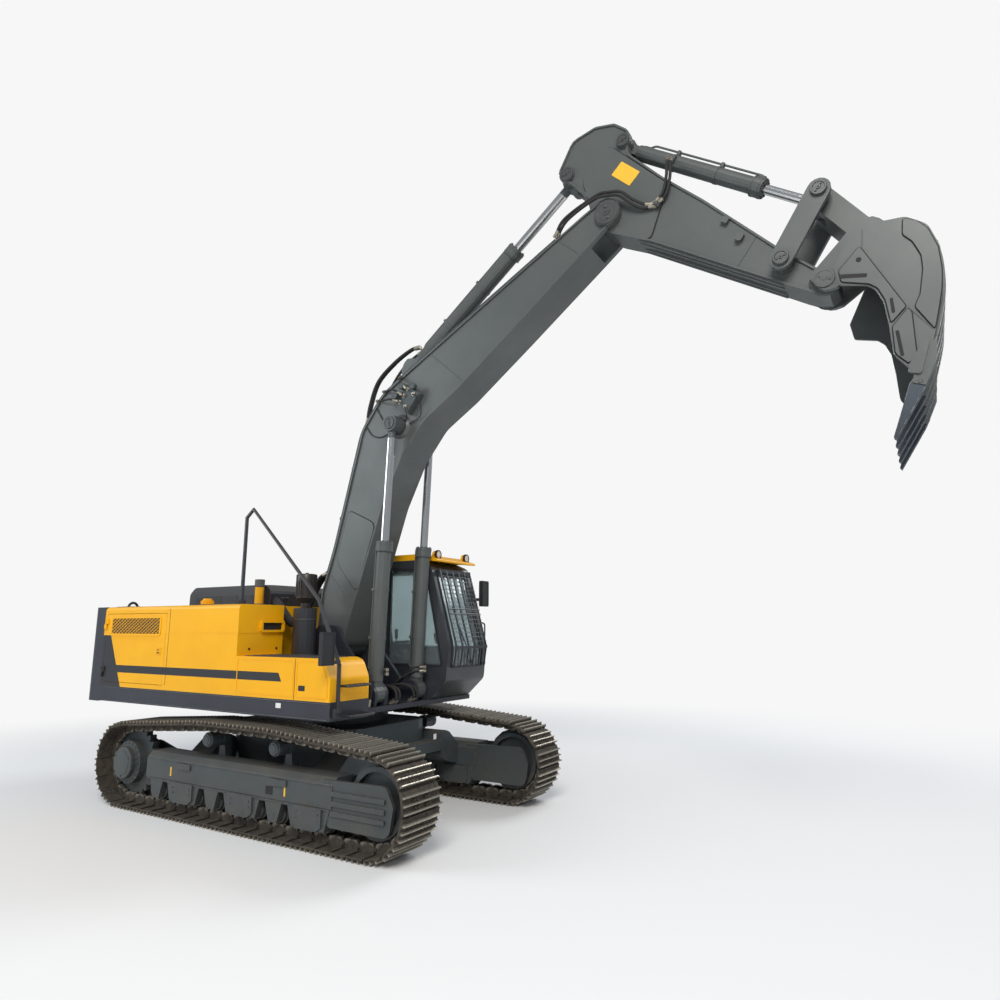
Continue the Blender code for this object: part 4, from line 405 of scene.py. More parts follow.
def finish_nodes():
    """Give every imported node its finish."""
    starts = {start: finish for finish, names in NODE_FINISHES.items() for start in names}
    for name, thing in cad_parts.items():
        best = max((start for start in starts if name.startswith(start)), key=len)
        for slot in thing.material_slots:
            slot.material = FINISHES[starts[best]]


# ---------------------------------------------------------------- surfaces from arrays

def tilted(origin, degrees):
    """4x4 of a frame in the side view: its x axis rises by degrees from level, its z axis stands across it."""
    a = np.radians(degrees)
    made = np.eye(4)
    made[:3, 0] = np.cos(a), 0, np.sin(a)
    made[:3, 2] = -np.sin(a), 0, np.cos(a)
    made[:3, 3] = origin
    return made


def between(start, end):
    """The tilted frame on start whose x axis points at end, both (x, z)."""
    dx, dz = end[0] - start[0], end[1] - start[1]
    return tilted((start[0], 0, start[1]), np.degrees(np.arctan2(dz, dx)))


def spot(place, x, z):
    """World (x, z) of a point of a side-view frame."""
    return tuple((place @ (x, 0, z, 1))[[0, 2]])


# frames of the moving bodies at rest, each with the pins that lie in it
WORLD = np.eye(4)
UPPER = tilted((AXIS_X, 0, 0), 0)
BOOM_FOOT, RAM_FOOT = (0.20, 2.12), (1.15, 1.49)
BOOM = UPPER @ tilted((BOOM_FOOT[0], 0, BOOM_FOOT[1]), 50)
BOOM_TIP, BOOM_RAM_PIN = (6.50, 0.0), (2.90, 0.98)
ARM = BOOM @ tilted((6.50, 0, 0), -83)
ARM_RAM_PIN, BUCKET_RAM_BASE, ROCKER_PIN = (-0.86, 0.33), (-0.33, 0.88), (2.19, 0.04)
BUCKET = ARM @ tilted((2.65, 0, 0), -43)
EAR_PIN = (-0.27746, 0.48644)
ROCKER_TOP = (AXIS_X + 6.62962, 6.56708)
BOOM_ROD_PIN, ARM_ROD_PIN = spot(BOOM, *BOOM_RAM_PIN), spot(ARM, *ARM_RAM_PIN)
BOOM_RAM = between(spot(UPPER, *RAM_FOOT), BOOM_ROD_PIN)
ARM_RAM = between(spot(BOOM, 3.62, 1.53), ARM_ROD_PIN)
BUCKET_RAM = between(spot(ARM, *BUCKET_RAM_BASE), ROCKER_TOP)


def carried(place, points):
    """Points carried by a 4x4: p' = R p + t."""
    return np.asarray(points, float) @ place[:3, :3].T + place[:3, 3]


def grid(points, wrap=False):
    """(points, quads) of a (rows, columns, 3) array; wrap joins its last column to its first."""
    rows, columns = points.shape[:2]
    index = np.arange(rows * columns).reshape(rows, columns)
    if wrap:
        index = np.hstack((index, index[:, :1]))
    quads = np.stack((index[:-1, :-1], index[1:, :-1], index[1:, 1:], index[:-1, 1:]), -1).reshape(-1, 4)
    return points.reshape(-1, 3), quads.tolist()


def moved(shell, place):
    """A shell carried by a 4x4."""
    return carried(place, shell[0]), shell[1]


def joined(*shells):
    """Several shells as one, the faces of each counted on from the points before it."""
    starts = np.cumsum([0] + [len(points) for points, faces in shells])
    faces = [[corner + start for corner in face] for start, (points, faces) in zip(starts.tolist(), shells)
             for face in faces]
    return np.concatenate([points for points, faces in shells]), faces


def repeated(faces, copies, count):
    """The faces of so many copies of a shell that has count points."""
    return [[corner + k * count for corner in face] for k in range(copies) for face in faces]


def strewn(shell, places):
    """Copies of a shell at rows of (x, y, z): p_ij = place_i + p_j."""
    points, faces = shell
    places = np.atleast_2d(places)
    spread = (places[:, None, :] + points[None]).reshape(-1, 3)
    return spread, repeated(faces, len(places), len(points))


def mirror(shell):
    """The shell on the machine's other side: y' = -y."""
    return shell[0] * (1, -1, 1), shell[1]


def both(shell):
    return joined(shell, mirror(shell))


LAYS = {"side": ((1, 0, 0), (0, 0, 1), (0, 1, 0)), "plan": ((1, 0, 0), (0, 1, 0), (0, 0, 1)),
        "front": ((0, 1, 0), (0, 0, 1), (1, 0, 0))}
AXES = {"X": (0, 1, 2), "Y": (1, 0, 2), "Z": (2, 0, 1)}
MIDDLE = (0, 0, 0)


def laid(flat, depth, lay):
    """Flat points at a depth: p = u U + v V + w W."""
    across, up, along = np.array(LAYS[lay], float)
    return flat[:, :1] * across + flat[:, 1:] * up + depth * along


def plate(outline, low, high, lay="side"):
    """A flat outline carried between two depths, its two ends closed by one face each."""
    low, high = sorted((low, high))
    outline = np.asarray(outline, float)[:, :2]
    points, faces = grid(np.stack((laid(outline, low, lay), laid(outline, high, lay))), wrap=True)
    count = len(outline)
    return points, faces + [list(range(count)), list(range(2 * count - 1, count - 1, -1))]


def box(low, high):
    """A block between two opposite corners, as a plate of its plan."""
    (x0, y0, z0), (x1, y1, z1) = np.minimum(low, high), np.maximum(low, high)
    return plate(((x0, y0), (x1, y0), (x1, y1), (x0, y1)), z0, z1, "plan")


def unit(vectors):
    return vectors / np.linalg.norm(vectors, axis=-1, keepdims=True)


def eased_corner(here, back, ahead, reach, most, steps):
    """The parabola (1-t)^2 A + 2t(1-t) B + t^2 C at B, where A and C lie reach from B on its two sides."""
    first, last = [here + unit(way) * np.minimum(reach, np.linalg.norm(way, axis=-1, keepdims=True) * most)
                   for way in (back, ahead)]
    t = np.linspace(0, 1, steps)[None, :, None]
    return (1 - t) ** 2 * first[:, None] + 2 * t * (1 - t) * here[:, None] + t ** 2 * last[:, None]


def rounded_outline(corners):
    """A closed outline of (u, v, reach) with each corner eased."""
    corners = np.asarray(corners, float)
    here, reach = corners[:, :2], corners[:, 2:]
    return eased_corner(here, np.roll(here, 1, 0) - here, np.roll(here, -1, 0) - here, reach, 0.48, 5).reshape(-1, 2)


def eased(outline, reach):
    """A closed outline of (u, v) with the same reach at every corner."""
    return rounded_outline([(u, v, reach) for u, v in outline])


def rectangle(x0, z0, x1, z1, reach=0.03):
    return eased(((x0, z0), (x1, z0), (x1, z1), (x0, z1)), reach)


def centred(x, z, half_x, half_z, reach):
    return rectangle(x - half_x, z - half_z, x + half_x, z + half_z, reach)


def bent_path(points, reach=0.08):
    """Straight runs whose corners are eased."""
    p = np.asarray(points, float)
    bends = eased_corner(p[1:-1], p[:-2] - p[1:-1], p[2:] - p[1:-1], reach, 0.45, 6)
    return np.vstack((p[:1], bends.reshape(-1, 3), p[-1:]))


def eased_path(points, steps=8):
    """Catmull-Rom line: each stretch is the cubic that leaves and arrives along its neighbours' chord."""
    p = np.asarray(points, float)
    p = np.vstack((2 * p[0] - p[1], p, 2 * p[-1] - p[-2]))
    a, b, c, d = p[:-3, None], p[1:-2, None], p[2:-1, None], p[3:, None]
    t = np.linspace(0, 1, steps, endpoint=False)[None, :, None]
    line = 0.5 * (2 * b + (c - a) * t + (2 * a - 5 * b + 4 * c - d) * t ** 2 + (3 * b - a - 3 * c + d) * t ** 3)
    return np.vstack((line.reshape(-1, 3), p[-2]))


def circle(radius, sides=10, start=0.0):
    """Points (r cos a, r sin a)."""
    turn = np.radians(start) + np.linspace(0, 2 * np.pi, sides, endpoint=False)
    return np.stack((radius * np.cos(turn), radius * np.sin(turn)), -1)


def turned(profile, centre=MIDDLE, axis="Y", sides=24):
    """A profile of (radius, along) spun about an axis: p = c + along A + radius (cos a B + sin a C)."""
    profile = np.asarray(profile, float)
    points = np.zeros((len(profile), sides, 3))
    a, b, c = AXES[axis]
    points[..., a] = profile[:, 1:]
    points[..., [b, c]] = profile[:, :1, None] * circle(1.0, sides)[None]
    return grid(points + np.asarray(centre, float), wrap=True)


def drum(radius, low, high, centre=MIDDLE, axis="Y", sides=24, bevel=0.0):
    """A closed round bar with eased rims."""
    return turned(((0, low), (radius - bevel, low), (radius, low + bevel), (radius, high - bevel),
                   (radius - bevel, high), (0, high)), centre, axis, sides)


def swept(path, section, up=(0, 1, 0)):
    """A closed section carried along a line: p = path + s (t x up) + r ((t x up) x t), both ends closed."""
    path, section = np.asarray(path, float), np.asarray(section, float)
    tangent = unit(np.gradient(path, axis=0))
    across = unit(np.cross(tangent, np.asarray(up, float)))
    rise = np.cross(across, tangent)
    made, faces = grid(path[:, None] + section[None, :, :1] * across[:, None] + section[None, :, 1:] * rise[:, None],
                       wrap=True)
    count = len(section)
    return made, faces + [list(range(count)), list(range(len(made) - 1, len(made) - count - 1, -1))]


def pipe(path, radius, up=(0, 1, 0), sides=10):
    """A round tube along a line."""
    return swept(path, circle(radius, sides), up)


def bead(path, radius=0.007):
    """A weld bead: a low round section along a line on the plate."""
    return swept(path, circle(radius, 6))


def hexagon(radius, low, high, axis="Y"):
    """A bolt's head: six sides, a chamfer, and a washer under it."""
    step = (high - low) * 0.2
    rise = 1 if high > low else -1
    head = turned(((0, low + step), (radius, low + step), (radius, high - step * 0.6), (radius * 0.82, high),
                   (0, high)), MIDDLE, axis, 6)
    washer = turned(((0, low - rise * 0.002), (radius * 1.35, low - rise * 0.002), (radius * 1.35, low + step),
                     (0, low + step)), MIDDLE, axis, 12)
    return joined(head, washer)


def on_circle(centre, radius, count, axis="Y", start=0.0):
    """Rows of points spaced evenly on a circle about an axis."""
    made = np.zeros((count, 3))
    made[:, AXES[axis][1:]] = circle(radius, count, start)
    return made + np.asarray(centre, float)


def raised(outline, low, high, ease=0.03):
    """A plate welded on both sides: an eased outline between two distances from the middle."""
    return both(plate(eased(outline, ease), low, high))


def offset(outline, depth):
    """A closed outline moved out by depth along the mean of each corner's two normals, kept as a mitre."""
    outline = np.asarray(outline, float)[:, :2]
    after = unit(np.roll(outline, -1, 0) - outline)
    before = np.roll(after, 1, 0)
    turn = np.sign(np.sum(outline[:, 0] * np.roll(outline[:, 1], -1) - np.roll(outline[:, 0], -1) * outline[:, 1]))
    normals = np.stack((after[:, 1] + before[:, 1], -after[:, 0] - before[:, 0]), -1) * turn
    return outline + normals * depth * 2 / np.maximum(np.sum(normals ** 2, 1, keepdims=True), 0.4)


def rim(outline, low, high, width, lay="side"):
    """A frame of rectangular section round an outline: four offset rings, the last joined to the first."""
    low, high = sorted((low, high))
    half = width / 2
    corners = ((-half, low), (-half, high), (half, high), (half, low), (-half, low))
    return grid(np.stack([laid(offset(outline, depth), height, lay) for depth, height in corners]), wrap=True)


def piece(name, body, finish, *shells, place=WORLD, worn=None):
    """One mesh of several shells, carried by place, doubles merged, faces outwards, riding on a body."""
    points, faces = moved(joined(*shells), place)
    mesh = bpy.data.meshes.new(name)
    mesh.from_pydata(points.tolist(), [], faces)
    if worn is not None:
        mesh.attributes.new("worn", "FLOAT", "POINT").data.foreach_set("value", np.asarray(worn, np.float32))
    work = bmesh.new()
    work.from_mesh(mesh)
    bmesh.ops.remove_doubles(work, verts=work.verts, dist=0.00005)
    bmesh.ops.dissolve_degenerate(work, edges=work.edges, dist=0.00001)
    bmesh.ops.recalc_face_normals(work, faces=work.faces)
    work.to_mesh(mesh)
    work.free()
    mesh.shade_smooth()
    mesh.set_sharp_from_angle(angle=np.radians(32))
    mesh.materials.append(FINISHES[finish])
    thing = linked(name, mesh)
    if body:
        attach(thing, body)
    return thing


def on_upper(name, finish, *shells, body="upper"):
    """A piece drawn in the upper structure's frame."""
    return piece(name, body, finish, *shells, place=UPPER)


# ---------------------------------------------------------------- undercarriage

SIDES = (("right", -1), ("left", 1))
TRACK_MIDDLE = 1.37
SHOES = 52
TUMBLER_X, TUMBLER_Z, TUMBLER_RADIUS = 2.17, 0.54, 0.438
CARRIER_XS, CARRIER_Z, CARRIER_RADIUS = (-0.58, 0.62), 0.945, 0.148
ROLLER_XS = AXIS_X - 1.44 + 0.362 * np.arange(9)
ROLLER_Z = 0.252


def chain_pins():
    """Pins of a chain: the outer tangent of each pair of neighbouring wheels and the arc round each, in equal steps."""
    centre = np.array([(TUMBLER_X, TUMBLER_Z), *[(x, CARRIER_Z) for x in CARRIER_XS[::-1]], (-TUMBLER_X, TUMBLER_Z)])
    radius = np.array((TUMBLER_RADIUS, CARRIER_RADIUS, CARRIER_RADIUS, TUMBLER_RADIUS))
    way = np.roll(centre, -1, 0) - centre
    lean = np.arcsin((radius - np.roll(radius, -1)) / np.hypot(*way.T))
    leaving = np.arctan2(way[:, 1], way[:, 0]) - np.pi / 2 + lean
    arriving = np.roll(leaving, 1)
    sweep = (leaving - arriving) % (2 * np.pi)
    turn = arriving[:, None] + sweep[:, None] * np.linspace(0, 1, 80)
    line = (centre[:, None] + radius[:, None, None] * np.stack((np.cos(turn), np.sin(turn)), -1)).reshape(-1, 2)
    line = np.vstack((line, line[:1]))
    walked = np.concatenate(([0], np.cumsum(np.hypot(*np.diff(line, axis=0).T))))
    marks = np.linspace(0, walked[-1], SHOES, endpoint=False)
    return np.stack((np.interp(marks, walked, line[:, 0]), np.interp(marks, walked, line[:, 1])), -1)


# a shoe's section, (along, out from the pin line, worn), with its lip and three ridges
SHOE_SECTION = ((-0.108, 0.046, 0), (0.098, 0.044, 0), (0.128, 0.028, 0), (0.133, 0.035, 0), (0.104, 0.043, 0),
                (0.103, 0.060, 0), (0.078, 0.064, 0), (0.060, 0.070, 0), (0.052, 0.094, 0.6), (0.050, 0.102, 1),
                (0.039, 0.102, 1), (0.036, 0.094, 0.6), (0.030, 0.070, 0), (0.010, 0.064, 0), (-0.010, 0.064, 0),
                (-0.018, 0.070, 0), (-0.024, 0.094, 0.6), (-0.026, 0.102, 1), (-0.037, 0.102, 1), (-0.039, 0.094, 0.6),
                (-0.045, 0.070, 0), (-0.060, 0.064, 0), (-0.082, 0.064, 0), (-0.092, 0.070, 0), (-0.098, 0.094, 0.6),
                (-0.100, 0.102, 1), (-0.111, 0.102, 1), (-0.114, 0.090, 0.4), (-0.115, 0.062, 0))
LINK_SECTION = ((-0.116, -0.012), (-0.118, 0.026), (-0.098, 0.046), (0.074, 0.046), (0.090, 0.034), (0.096, -0.014),
                (0.082, -0.040), (0.060, -0.049), (0.020, -0.049), (0.004, -0.040), (-0.012, -0.049),
                (-0.070, -0.049), (-0.098, -0.040))
SHOE_HALF = 0.30
LINK_INNER, LINK_OUTER = 0.066, 0.111
CHAIN_PIN = (-0.110, 0, 0)


def one_shoe():
    """A shoe with its four bolts, its pair of links, the pin and its bushing, about the middle of a pitch."""
    section = np.array(SHOE_SECTION)
    shells = [plate(section[:, :2], -SHOE_HALF, SHOE_HALF),
              strewn(hexagon(0.017, 0.064, 0.080, "Z"),
                     [(u, y, 0) for u in (-0.070, 0.000) for y in (-0.112, -0.066, 0.066, 0.112)]),
              plate(LINK_SECTION, -LINK_OUTER, -LINK_INNER), plate(LINK_SECTION, LINK_INNER, LINK_OUTER),
              drum(0.021, -0.122, 0.122, CHAIN_PIN, sides=10, bevel=0.004),
              drum(0.031, -LINK_INNER, LINK_INNER, CHAIN_PIN, sides=10)]
    # the rail faces of the links are rubbed too
    worn = [np.tile(section[:, 2], 2)] + [np.where(points[:, 2] < -0.045, 0.7, 0.0) for points, faces in shells[1:]]
    return joined(*shells), np.concatenate(worn)


def build_tracks():
    """Every shoe set on its pitch: p = middle + u t + w n, with n the outward normal of t."""
    pins = chain_pins()
    way = np.roll(pins, -1, 0) - pins
    along = way / np.hypot(*way.T)[:, None]
    out = np.stack((along[:, 1], -along[:, 0]), -1)
    (points, faces), worn = one_shoe()
    set_out = (pins + way / 2)[:, None] + points[None, :, :1] * along[:, None] + points[None, :, 2:] * out[:, None]
    for name, side in SIDES:
        y = np.broadcast_to(points[None, :, 1] + side * TRACK_MIDDLE, set_out.shape[:2])
        whole = np.stack((set_out[..., 0] + AXIS_X, y, set_out[..., 1]), -1).reshape(-1, 3)
        track = piece(f"chain_and_shoes_{name}", "undercarriage", "track_steel",
                      (whole, repeated(faces, SHOES, len(points))), worn=np.tile(worn, SHOES))
        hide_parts(f"track_{name}")


# half of a lower roller's profile, and a carrier roller's from its hub to its closed end, both (radius, along)
ROLLER_HALF = [(0.100, 0.046), (0.116, 0.050), (0.116, 0.062), (0.104, 0.068), (0.104, 0.106), (0.100, 0.112),
               (0.066, 0.112), (0.060, 0.120), (0, 0.120)]
CARRIER = [(0, -0.150), (0.045, -0.150), (0.050, -0.142), (0.070, -0.142), (0.078, -0.130), (0.078, -0.122),
           (0.090, -0.116), (0.090, -0.060), (0.080, -0.052), (0.080, 0.052), (0.090, 0.060), (0.090, 0.116),
           (0.070, 0.122), (0, 0.122)]
HUB_COVER = ((0.150, 0), (0.150, 0.004), (0.135, 0.006), (0, 0.006))


def reversed_profile(profile):
    """A profile turned end for end."""
    return [(radius, -along) for radius, along in profile[::-1]]


def build_rollers():
    """Flanged lower rollers, carrier rollers, hub rings and bolts on each track frame."""
    wheel = turned([*reversed_profile(ROLLER_HALF), (0.086, 0.0), *ROLLER_HALF], sides=20)
    for name, side in SIDES:
        def out(depth):
            return side * (TRACK_MIDDLE + depth)

        def block(x, length, depths, z0, z1):
            return box((x + AXIS_X, out(depths[0]), z0), (x + length + AXIS_X, out(depths[1]), z1))

        wheels = strewn(wheel, [(x, out(0), ROLLER_Z + 0.002) for x in ROLLER_XS])
        carrier = turned(CARRIER if side < 0 else reversed_profile(CARRIER))
        carriers = strewn(carrier, [(x + AXIS_X, out(0), CARRIER_Z) for x in CARRIER_XS])
        piece(f"track_rollers_{name}", "undercarriage", "frame_grey", wheels, carriers)
        hub, cover_face = AXIS_X - TUMBLER_X, out(0.235)
        bolts = [strewn(hexagon(0.013, 0, side * 0.012), on_circle((hub, out(0.150), TUMBLER_Z), 0.243, 20)),
                 strewn(hexagon(0.010, 0, side * 0.010), on_circle((hub, cover_face, TUMBLER_Z), 0.160, 3, start=30)),
                 strewn(drum(0.030, 0, side * 0.012, sides=14), [(x, out(0.187), ROLLER_Z) for x in ROLLER_XS]),
                 strewn(hexagon(0.011, 0, side * 0.012),
                        [(x + AXIS_X, out(0.214), z) for x in (-1.06, -0.74, 0.03, 0.35, 1.12, 1.44)
                         for z in (0.30, 0.36)])]
        piece(f"track_bolts_{name}", "undercarriage", "bolt_steel", *bolts)
        cover = turned(HUB_COVER, sides=30)
        seams = [bead([(x + AXIS_X, out(0.200), z) for x in (-1.62, 1.60)], 0.008) for z in (0.660, 0.412)]
        blocks = [block(x, 0.26, (0.196, 0.218), 0.575, 0.645) for x in (-1.02, 0.68)]
        piece(f"frame_seams_{name}", "undercarriage", "frame_grey", *seams, *blocks,
              strewn(cover if side > 0 else mirror(cover), [(hub, cover_face, TUMBLER_Z)]))
        # a thin dark plate on the frame's side: painted shade of a pocket in the frame
        piece(f"frame_pocket_shade_{name}", "undercarriage", "hose_rubber", block(0.60, 0.12, (0.197, 0.2015), 0.470, 0.560))
        marks = [block(x, 0.024, (0.199, 0.203), 0.478, 0.585) for x in (-1.16, 0.90)]
        piece(f"frame_marks_{name}", "undercarriage", "bare_plate_yellow", *marks)


def build_ring():
    """Bolts round the slewing ring and on the car body, and a plain plate."""
    rows = [strewn(hexagon(radius, 0, high, "Z"), on_circle((AXIS_X, 0, z), 0.762, 44, "Z"))
            for radius, high, z in ((0.018, 0.022, 1.230), (0.016, -0.020, 1.140))]
    piece("ring_bolts", "undercarriage", "bolt_steel", *rows)
    tag = box((AXIS_X + 1.3205, 0.60, 0.83), (AXIS_X + 1.324, 0.66, 0.90))
    piece("car_body_plate", "undercarriage", "bare_plate_white", tag)


# ---------------------------------------------------------------- fittings shared by several places

HOSE_UP = (0.05, 1, 0.08)               # never along a hose


def pin_head(radius, greased=True):
    """A pin's end, looking along +Y: a rim, a recessed face, a centre boss and a keeper with its bolts."""
    disc = turned(((0, 0.016), (radius * 0.26, 0.016), (radius * 0.30, 0.007), (radius * 0.70, 0.007),
                   (radius * 0.76, 0.015), (radius * 0.95, 0.015), (radius, 0.008), (radius, -0.012), (0, -0.012)),
                  sides=28)
    bolts = strewn(hexagon(radius * 0.11, 0.006, 0.019), on_circle(MIDDLE, radius * 0.50, 2, start=50))
    nipple = [drum(radius * 0.07, 0.014, 0.032, sides=8, bevel=0.002)] if greased else []
    return joined(disc, bolts, *nipple)


def clamp(width, height=0.034, low=-0.030):
    """A saddle for tubes that run along x: a low bridge across y with a bolt at each end."""
    bridge = plate(((-width / 2, low), (-width / 2, height * 0.55), (-width * 0.36, height), (width * 0.36, height),
                    (width / 2, height * 0.55), (width / 2, low)), -0.022, 0.022, "front")
    bolts = strewn(hexagon(0.009, height * 0.55, height * 0.55 + 0.012, "Z"),
                   [(0, -width * 0.43, 0), (0, width * 0.43, 0)])
    return joined(bridge, bolts)


def fitting(path, radius):
    """The nut and crimp sleeve at both ends of a hose's line."""
    line = eased_path(path)
    ends = []
    for start, ahead in ((line[0], line[1]), (line[-1], line[-2])):
        way = unit(ahead - start)
        for low, high, scale, sides in ((-0.004, 0.030, 1.55, 6), (0.026, 0.085, 1.28, 12)):
            ends.append(pipe(np.stack((start + way * low, start + way * high)), radius * scale, HOSE_UP, sides))
    return joined(*ends)


def hoses(name, body, paths, radius=0.019, place=WORLD, onto=None):
    """A bundle of hydraulic hoses with fittings; with onto it passes from body to onto between start and end."""
    paths = [carried(place, path) for path in paths]
    home = None if onto else body
    rubber = [pipe(eased_path(path), radius, HOSE_UP) for path in paths]
    for thing in (piece(f"{name}_hoses", home, "hose_rubber", *rubber),
                  piece(f"{name}_fittings", home, "zinc_fitting", *[fitting(path, radius) for path in paths])):
        if onto:
            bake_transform(thing)


def painted_edge_shade(outline, ease, depth, low, high, width):
    """A dark rim round a welded plate, on both sides: painted shade along the plate's edge."""
    return both(rim(offset(eased(outline, ease), depth), low, high, width))


# ---------------------------------------------------------------- boom, arm, bucket

# pin heads by body: frame, pin, distance of the face from the middle, radius, on how many sides
PIN_HEADS = {
    "upper": ((UPPER, BOOM_FOOT, 0.3575, 0.105, 2), (UPPER, RAM_FOOT, 0.5245, 0.060, 1)),
    "boom": ((BOOM, BOOM_TIP, 0.290, 0.150, 2), (BOOM, BOOM_RAM_PIN, 0.4825, 0.088, 2)),
    "arm": ((ARM, ARM_RAM_PIN, 0.215, 0.092, 2), (ARM, BUCKET_RAM_BASE, 0.215, 0.082, 2)),
    "rocker": ((ARM, ROCKER_PIN, 0.363, 0.078, 2), (WORLD, ROCKER_TOP, 0.363, 0.078, 2)),
    "bucket": ((BUCKET, (0.0, 0.0), 0.2635, 0.098, 2), (BUCKET, EAR_PIN, 0.2525, 0.060, 2)),
}


def build_pins():
    """Heads on every pin of the working equipment; the bucket's have no grease nipple."""
    for body, rows in PIN_HEADS.items():
        heads = []
        for place, (x, z), face, radius, sides in rows:
            head = moved(strewn(pin_head(radius, body != "bucket"), [(x, face, z)]), place)
            heads.append(both(head) if sides == 2 else mirror(head))
        piece(f"{body}_pin_heads", body, "bolt_steel", *heads)


TOP_RUN = ((0.62, 0.712), (0.95, 0.838), (2.47, 1.552), (3.06, 1.586), (3.66, 1.372), (4.42, 1.079), (6.00, 0.458))
FOOT_EDGE = ((0.78, 0.09), (0.86, 0.66), (1.52, 0.97), (1.66, 0.45))
VALVE_FACE, SKIN_LINE = -0.350, -0.262  # the valve block's face, and thin lines just outside the boom's skin


def build_boom():
    """Weld seams, foot plates, steel tubes with saddles along the top, valve block, grease lines and hoses."""
    seams = [both(bead([(x0, 0.2485, z0), (x1, 0.2485, z1)], radius)) for x0, z0, x1, z1, radius in
             ((3.90, 0.49, 3.93, 1.20, 0.007), (5.95, 0.03, 5.97, 0.41, 0.007), (0.60, 0.03, 0.66, 0.63, 0.006))]
    # a dark rim round the foot plate: painted shade along its edge
    edge_shade = painted_edge_shade(FOOT_EDGE, 0.10, 0.006, 0.2480, 0.2505, 0.012)
    piece("boom_edge_shade", "boom", "hose_rubber", edge_shade, place=BOOM)
    foot_ring = both(turned(((0.150, 0.246), (0.185, 0.250), (0.185, 0.262), (0.120, 0.270), (0.120, 0.246)), sides=30))
    collar = both(turned(((0.128, 0.246), (0.170, 0.248), (0.160, 0.262), (0.128, 0.285)),
                         (BOOM_RAM_PIN[0], 0, BOOM_RAM_PIN[1]), sides=30))
    piece("boom_plates", "boom", "equipment_grey", *seams, raised(FOOT_EDGE, 0.244, 0.257, 0.10), foot_ring, collar,
          place=BOOM)
    tubes = [pipe(bent_path([(x, y, z) for x, z in TOP_RUN[:count]], 0.14), 0.0155)
             for y, count in ((-0.228, 7), (-0.180, 5), (-0.132, 5), (0.205, 7))]
    saddles = []
    for x, z, slope, middle, width in ((1.35, 1.006, 24.5, -0.18, 0.16), (2.00, 1.302, 24.5, -0.18, 0.16),
                                       (2.72, 1.530, 2.5, -0.18, 0.16), (4.05, 1.183, -21.0, -0.18, 0.13),
                                       (4.90, 0.852, -21.4, -0.222, 0.08), (5.72, 0.531, -21.4, -0.222, 0.08)):
        saddles += [moved(clamp(wide), tilted((x, y, z), slope)) for y, wide in ((middle, width), (0.205, 0.07))]
    piece("boom_tubes", "boom", "frame_grey", *tubes, place=BOOM)
    piece("boom_saddles", "boom", "bolt_steel", *saddles, place=BOOM)
    # valve block beside the bend with its ports
    body = plate(rectangle(3.13, 0.93, 3.43, 1.19, 0.02), VALVE_FACE, -0.334)
    ports = [(3.18, 1.13), (3.28, 1.13), (3.38, 1.13), (3.18, 1.00), (3.38, 1.00)]
    knob = turned(((0, -0.062), (0.036, -0.062), (0.046, -0.052), (0.046, 0), (0, 0)), sides=20)
    knobs = strewn(knob, [(x, VALVE_FACE, z) for x, z in ((3.20, 1.225), (3.37, 1.215), (3.46, 1.05))])
    piece("boom_valve", "boom", "frame_grey", body, knobs, place=BOOM)
    piece("boom_valve_studs", "boom", "zinc_fitting",
          strewn(hexagon(0.022, 0, -0.028), [(x, VALVE_FACE, z) for x, z in ports]), place=BOOM)
    hoses("boom_valve", "boom", (
        ((3.18, -0.385, 1.13), (3.12, -0.395, 1.28), (3.02, -0.335, 1.44), (2.96, SKIN_LINE, 1.58)),
        ((3.28, -0.385, 1.13), (3.26, -0.400, 1.30), (3.18, -0.340, 1.44), (3.12, SKIN_LINE, 1.57)),
        ((3.38, -0.385, 1.13), (3.40, -0.395, 1.26), (3.42, -0.330, 1.38), (3.44, SKIN_LINE, 1.44))), 0.014, BOOM)
    grease = (((3.18, -0.380, 1.00), (3.10, -0.350, 0.90), (3.04, -0.300, 0.92), (2.99, -0.268, 0.97)),
              ((3.38, -0.380, 1.00), (3.36, -0.350, 0.84), (3.20, -0.285, 0.76), (3.02, SKIN_LINE, 0.86)),
              [(x, SKIN_LINE, z) for x, z in ((2.86, 1.09), (2.80, 1.22), (2.84, 1.40), (2.90, 1.555))],
              [(x, SKIN_LINE, z) for x, z in ((2.80, 1.04), (2.62, 1.16), (2.55, 1.32), (2.58, 1.50))])
    piece("boom_grease_lines", "boom", "hose_rubber", *[pipe(eased_path(line), 0.0065, sides=7) for line in grease],
          place=BOOM)
    loops = [((2.60, y, 1.565), (2.82, y, 1.70), (3.16, y * 0.9, 1.83), (3.52, y * 0.75, 1.78), (3.80, y * 0.55, 1.68),
              (3.90, y * 0.45, 1.585)) for y in (-0.205, -0.160)]
    loops.append(((2.30, 0.205, 1.47), (2.62, 0.195, 1.68), (3.05, 0.160, 1.86), (3.50, 0.120, 1.84),
                  (3.86, 0.07, 1.66)))
    hoses("arm_ram_base", "boom", loops, 0.020, BOOM)
    # from the deck up to the boom's tubes, behind the foot pin
    rising = [((-0.30, y, 1.42), (-0.44 - lift, y, 1.90), (-0.38 - lift, y, 2.50), (-0.12, y, 2.96), (0.060, y, 3.060))
              for y, lift in ((-0.228, 0.0), (-0.180, 0.05), (-0.132, 0.0), (0.205, 0.04))]
    hoses("boom_foot", "upper", rising, 0.021, UPPER, onto="boom")
    # over the hinge of the arm to the bucket cylinder's base
    crossing = [[*carried(BOOM, ((5.98, y, 0.462), (6.22, -0.300, 0.420 + k))),
                 *carried(ARM, ((-0.230, -0.316, 0.085 + k), (-0.084, -0.318, 0.170 + k), (0.066, -0.312, 0.212 + k),
                                (0.225, -0.275, 0.182 + k), (0.385, -0.236, 0.178 + k), (0.522 - k, -0.222, 0.250)))]
                for y, k in ((-0.228, 0.0), (-0.275, 0.046))]
    hoses("arm_hinge", "boom", crossing, 0.018, onto="arm")


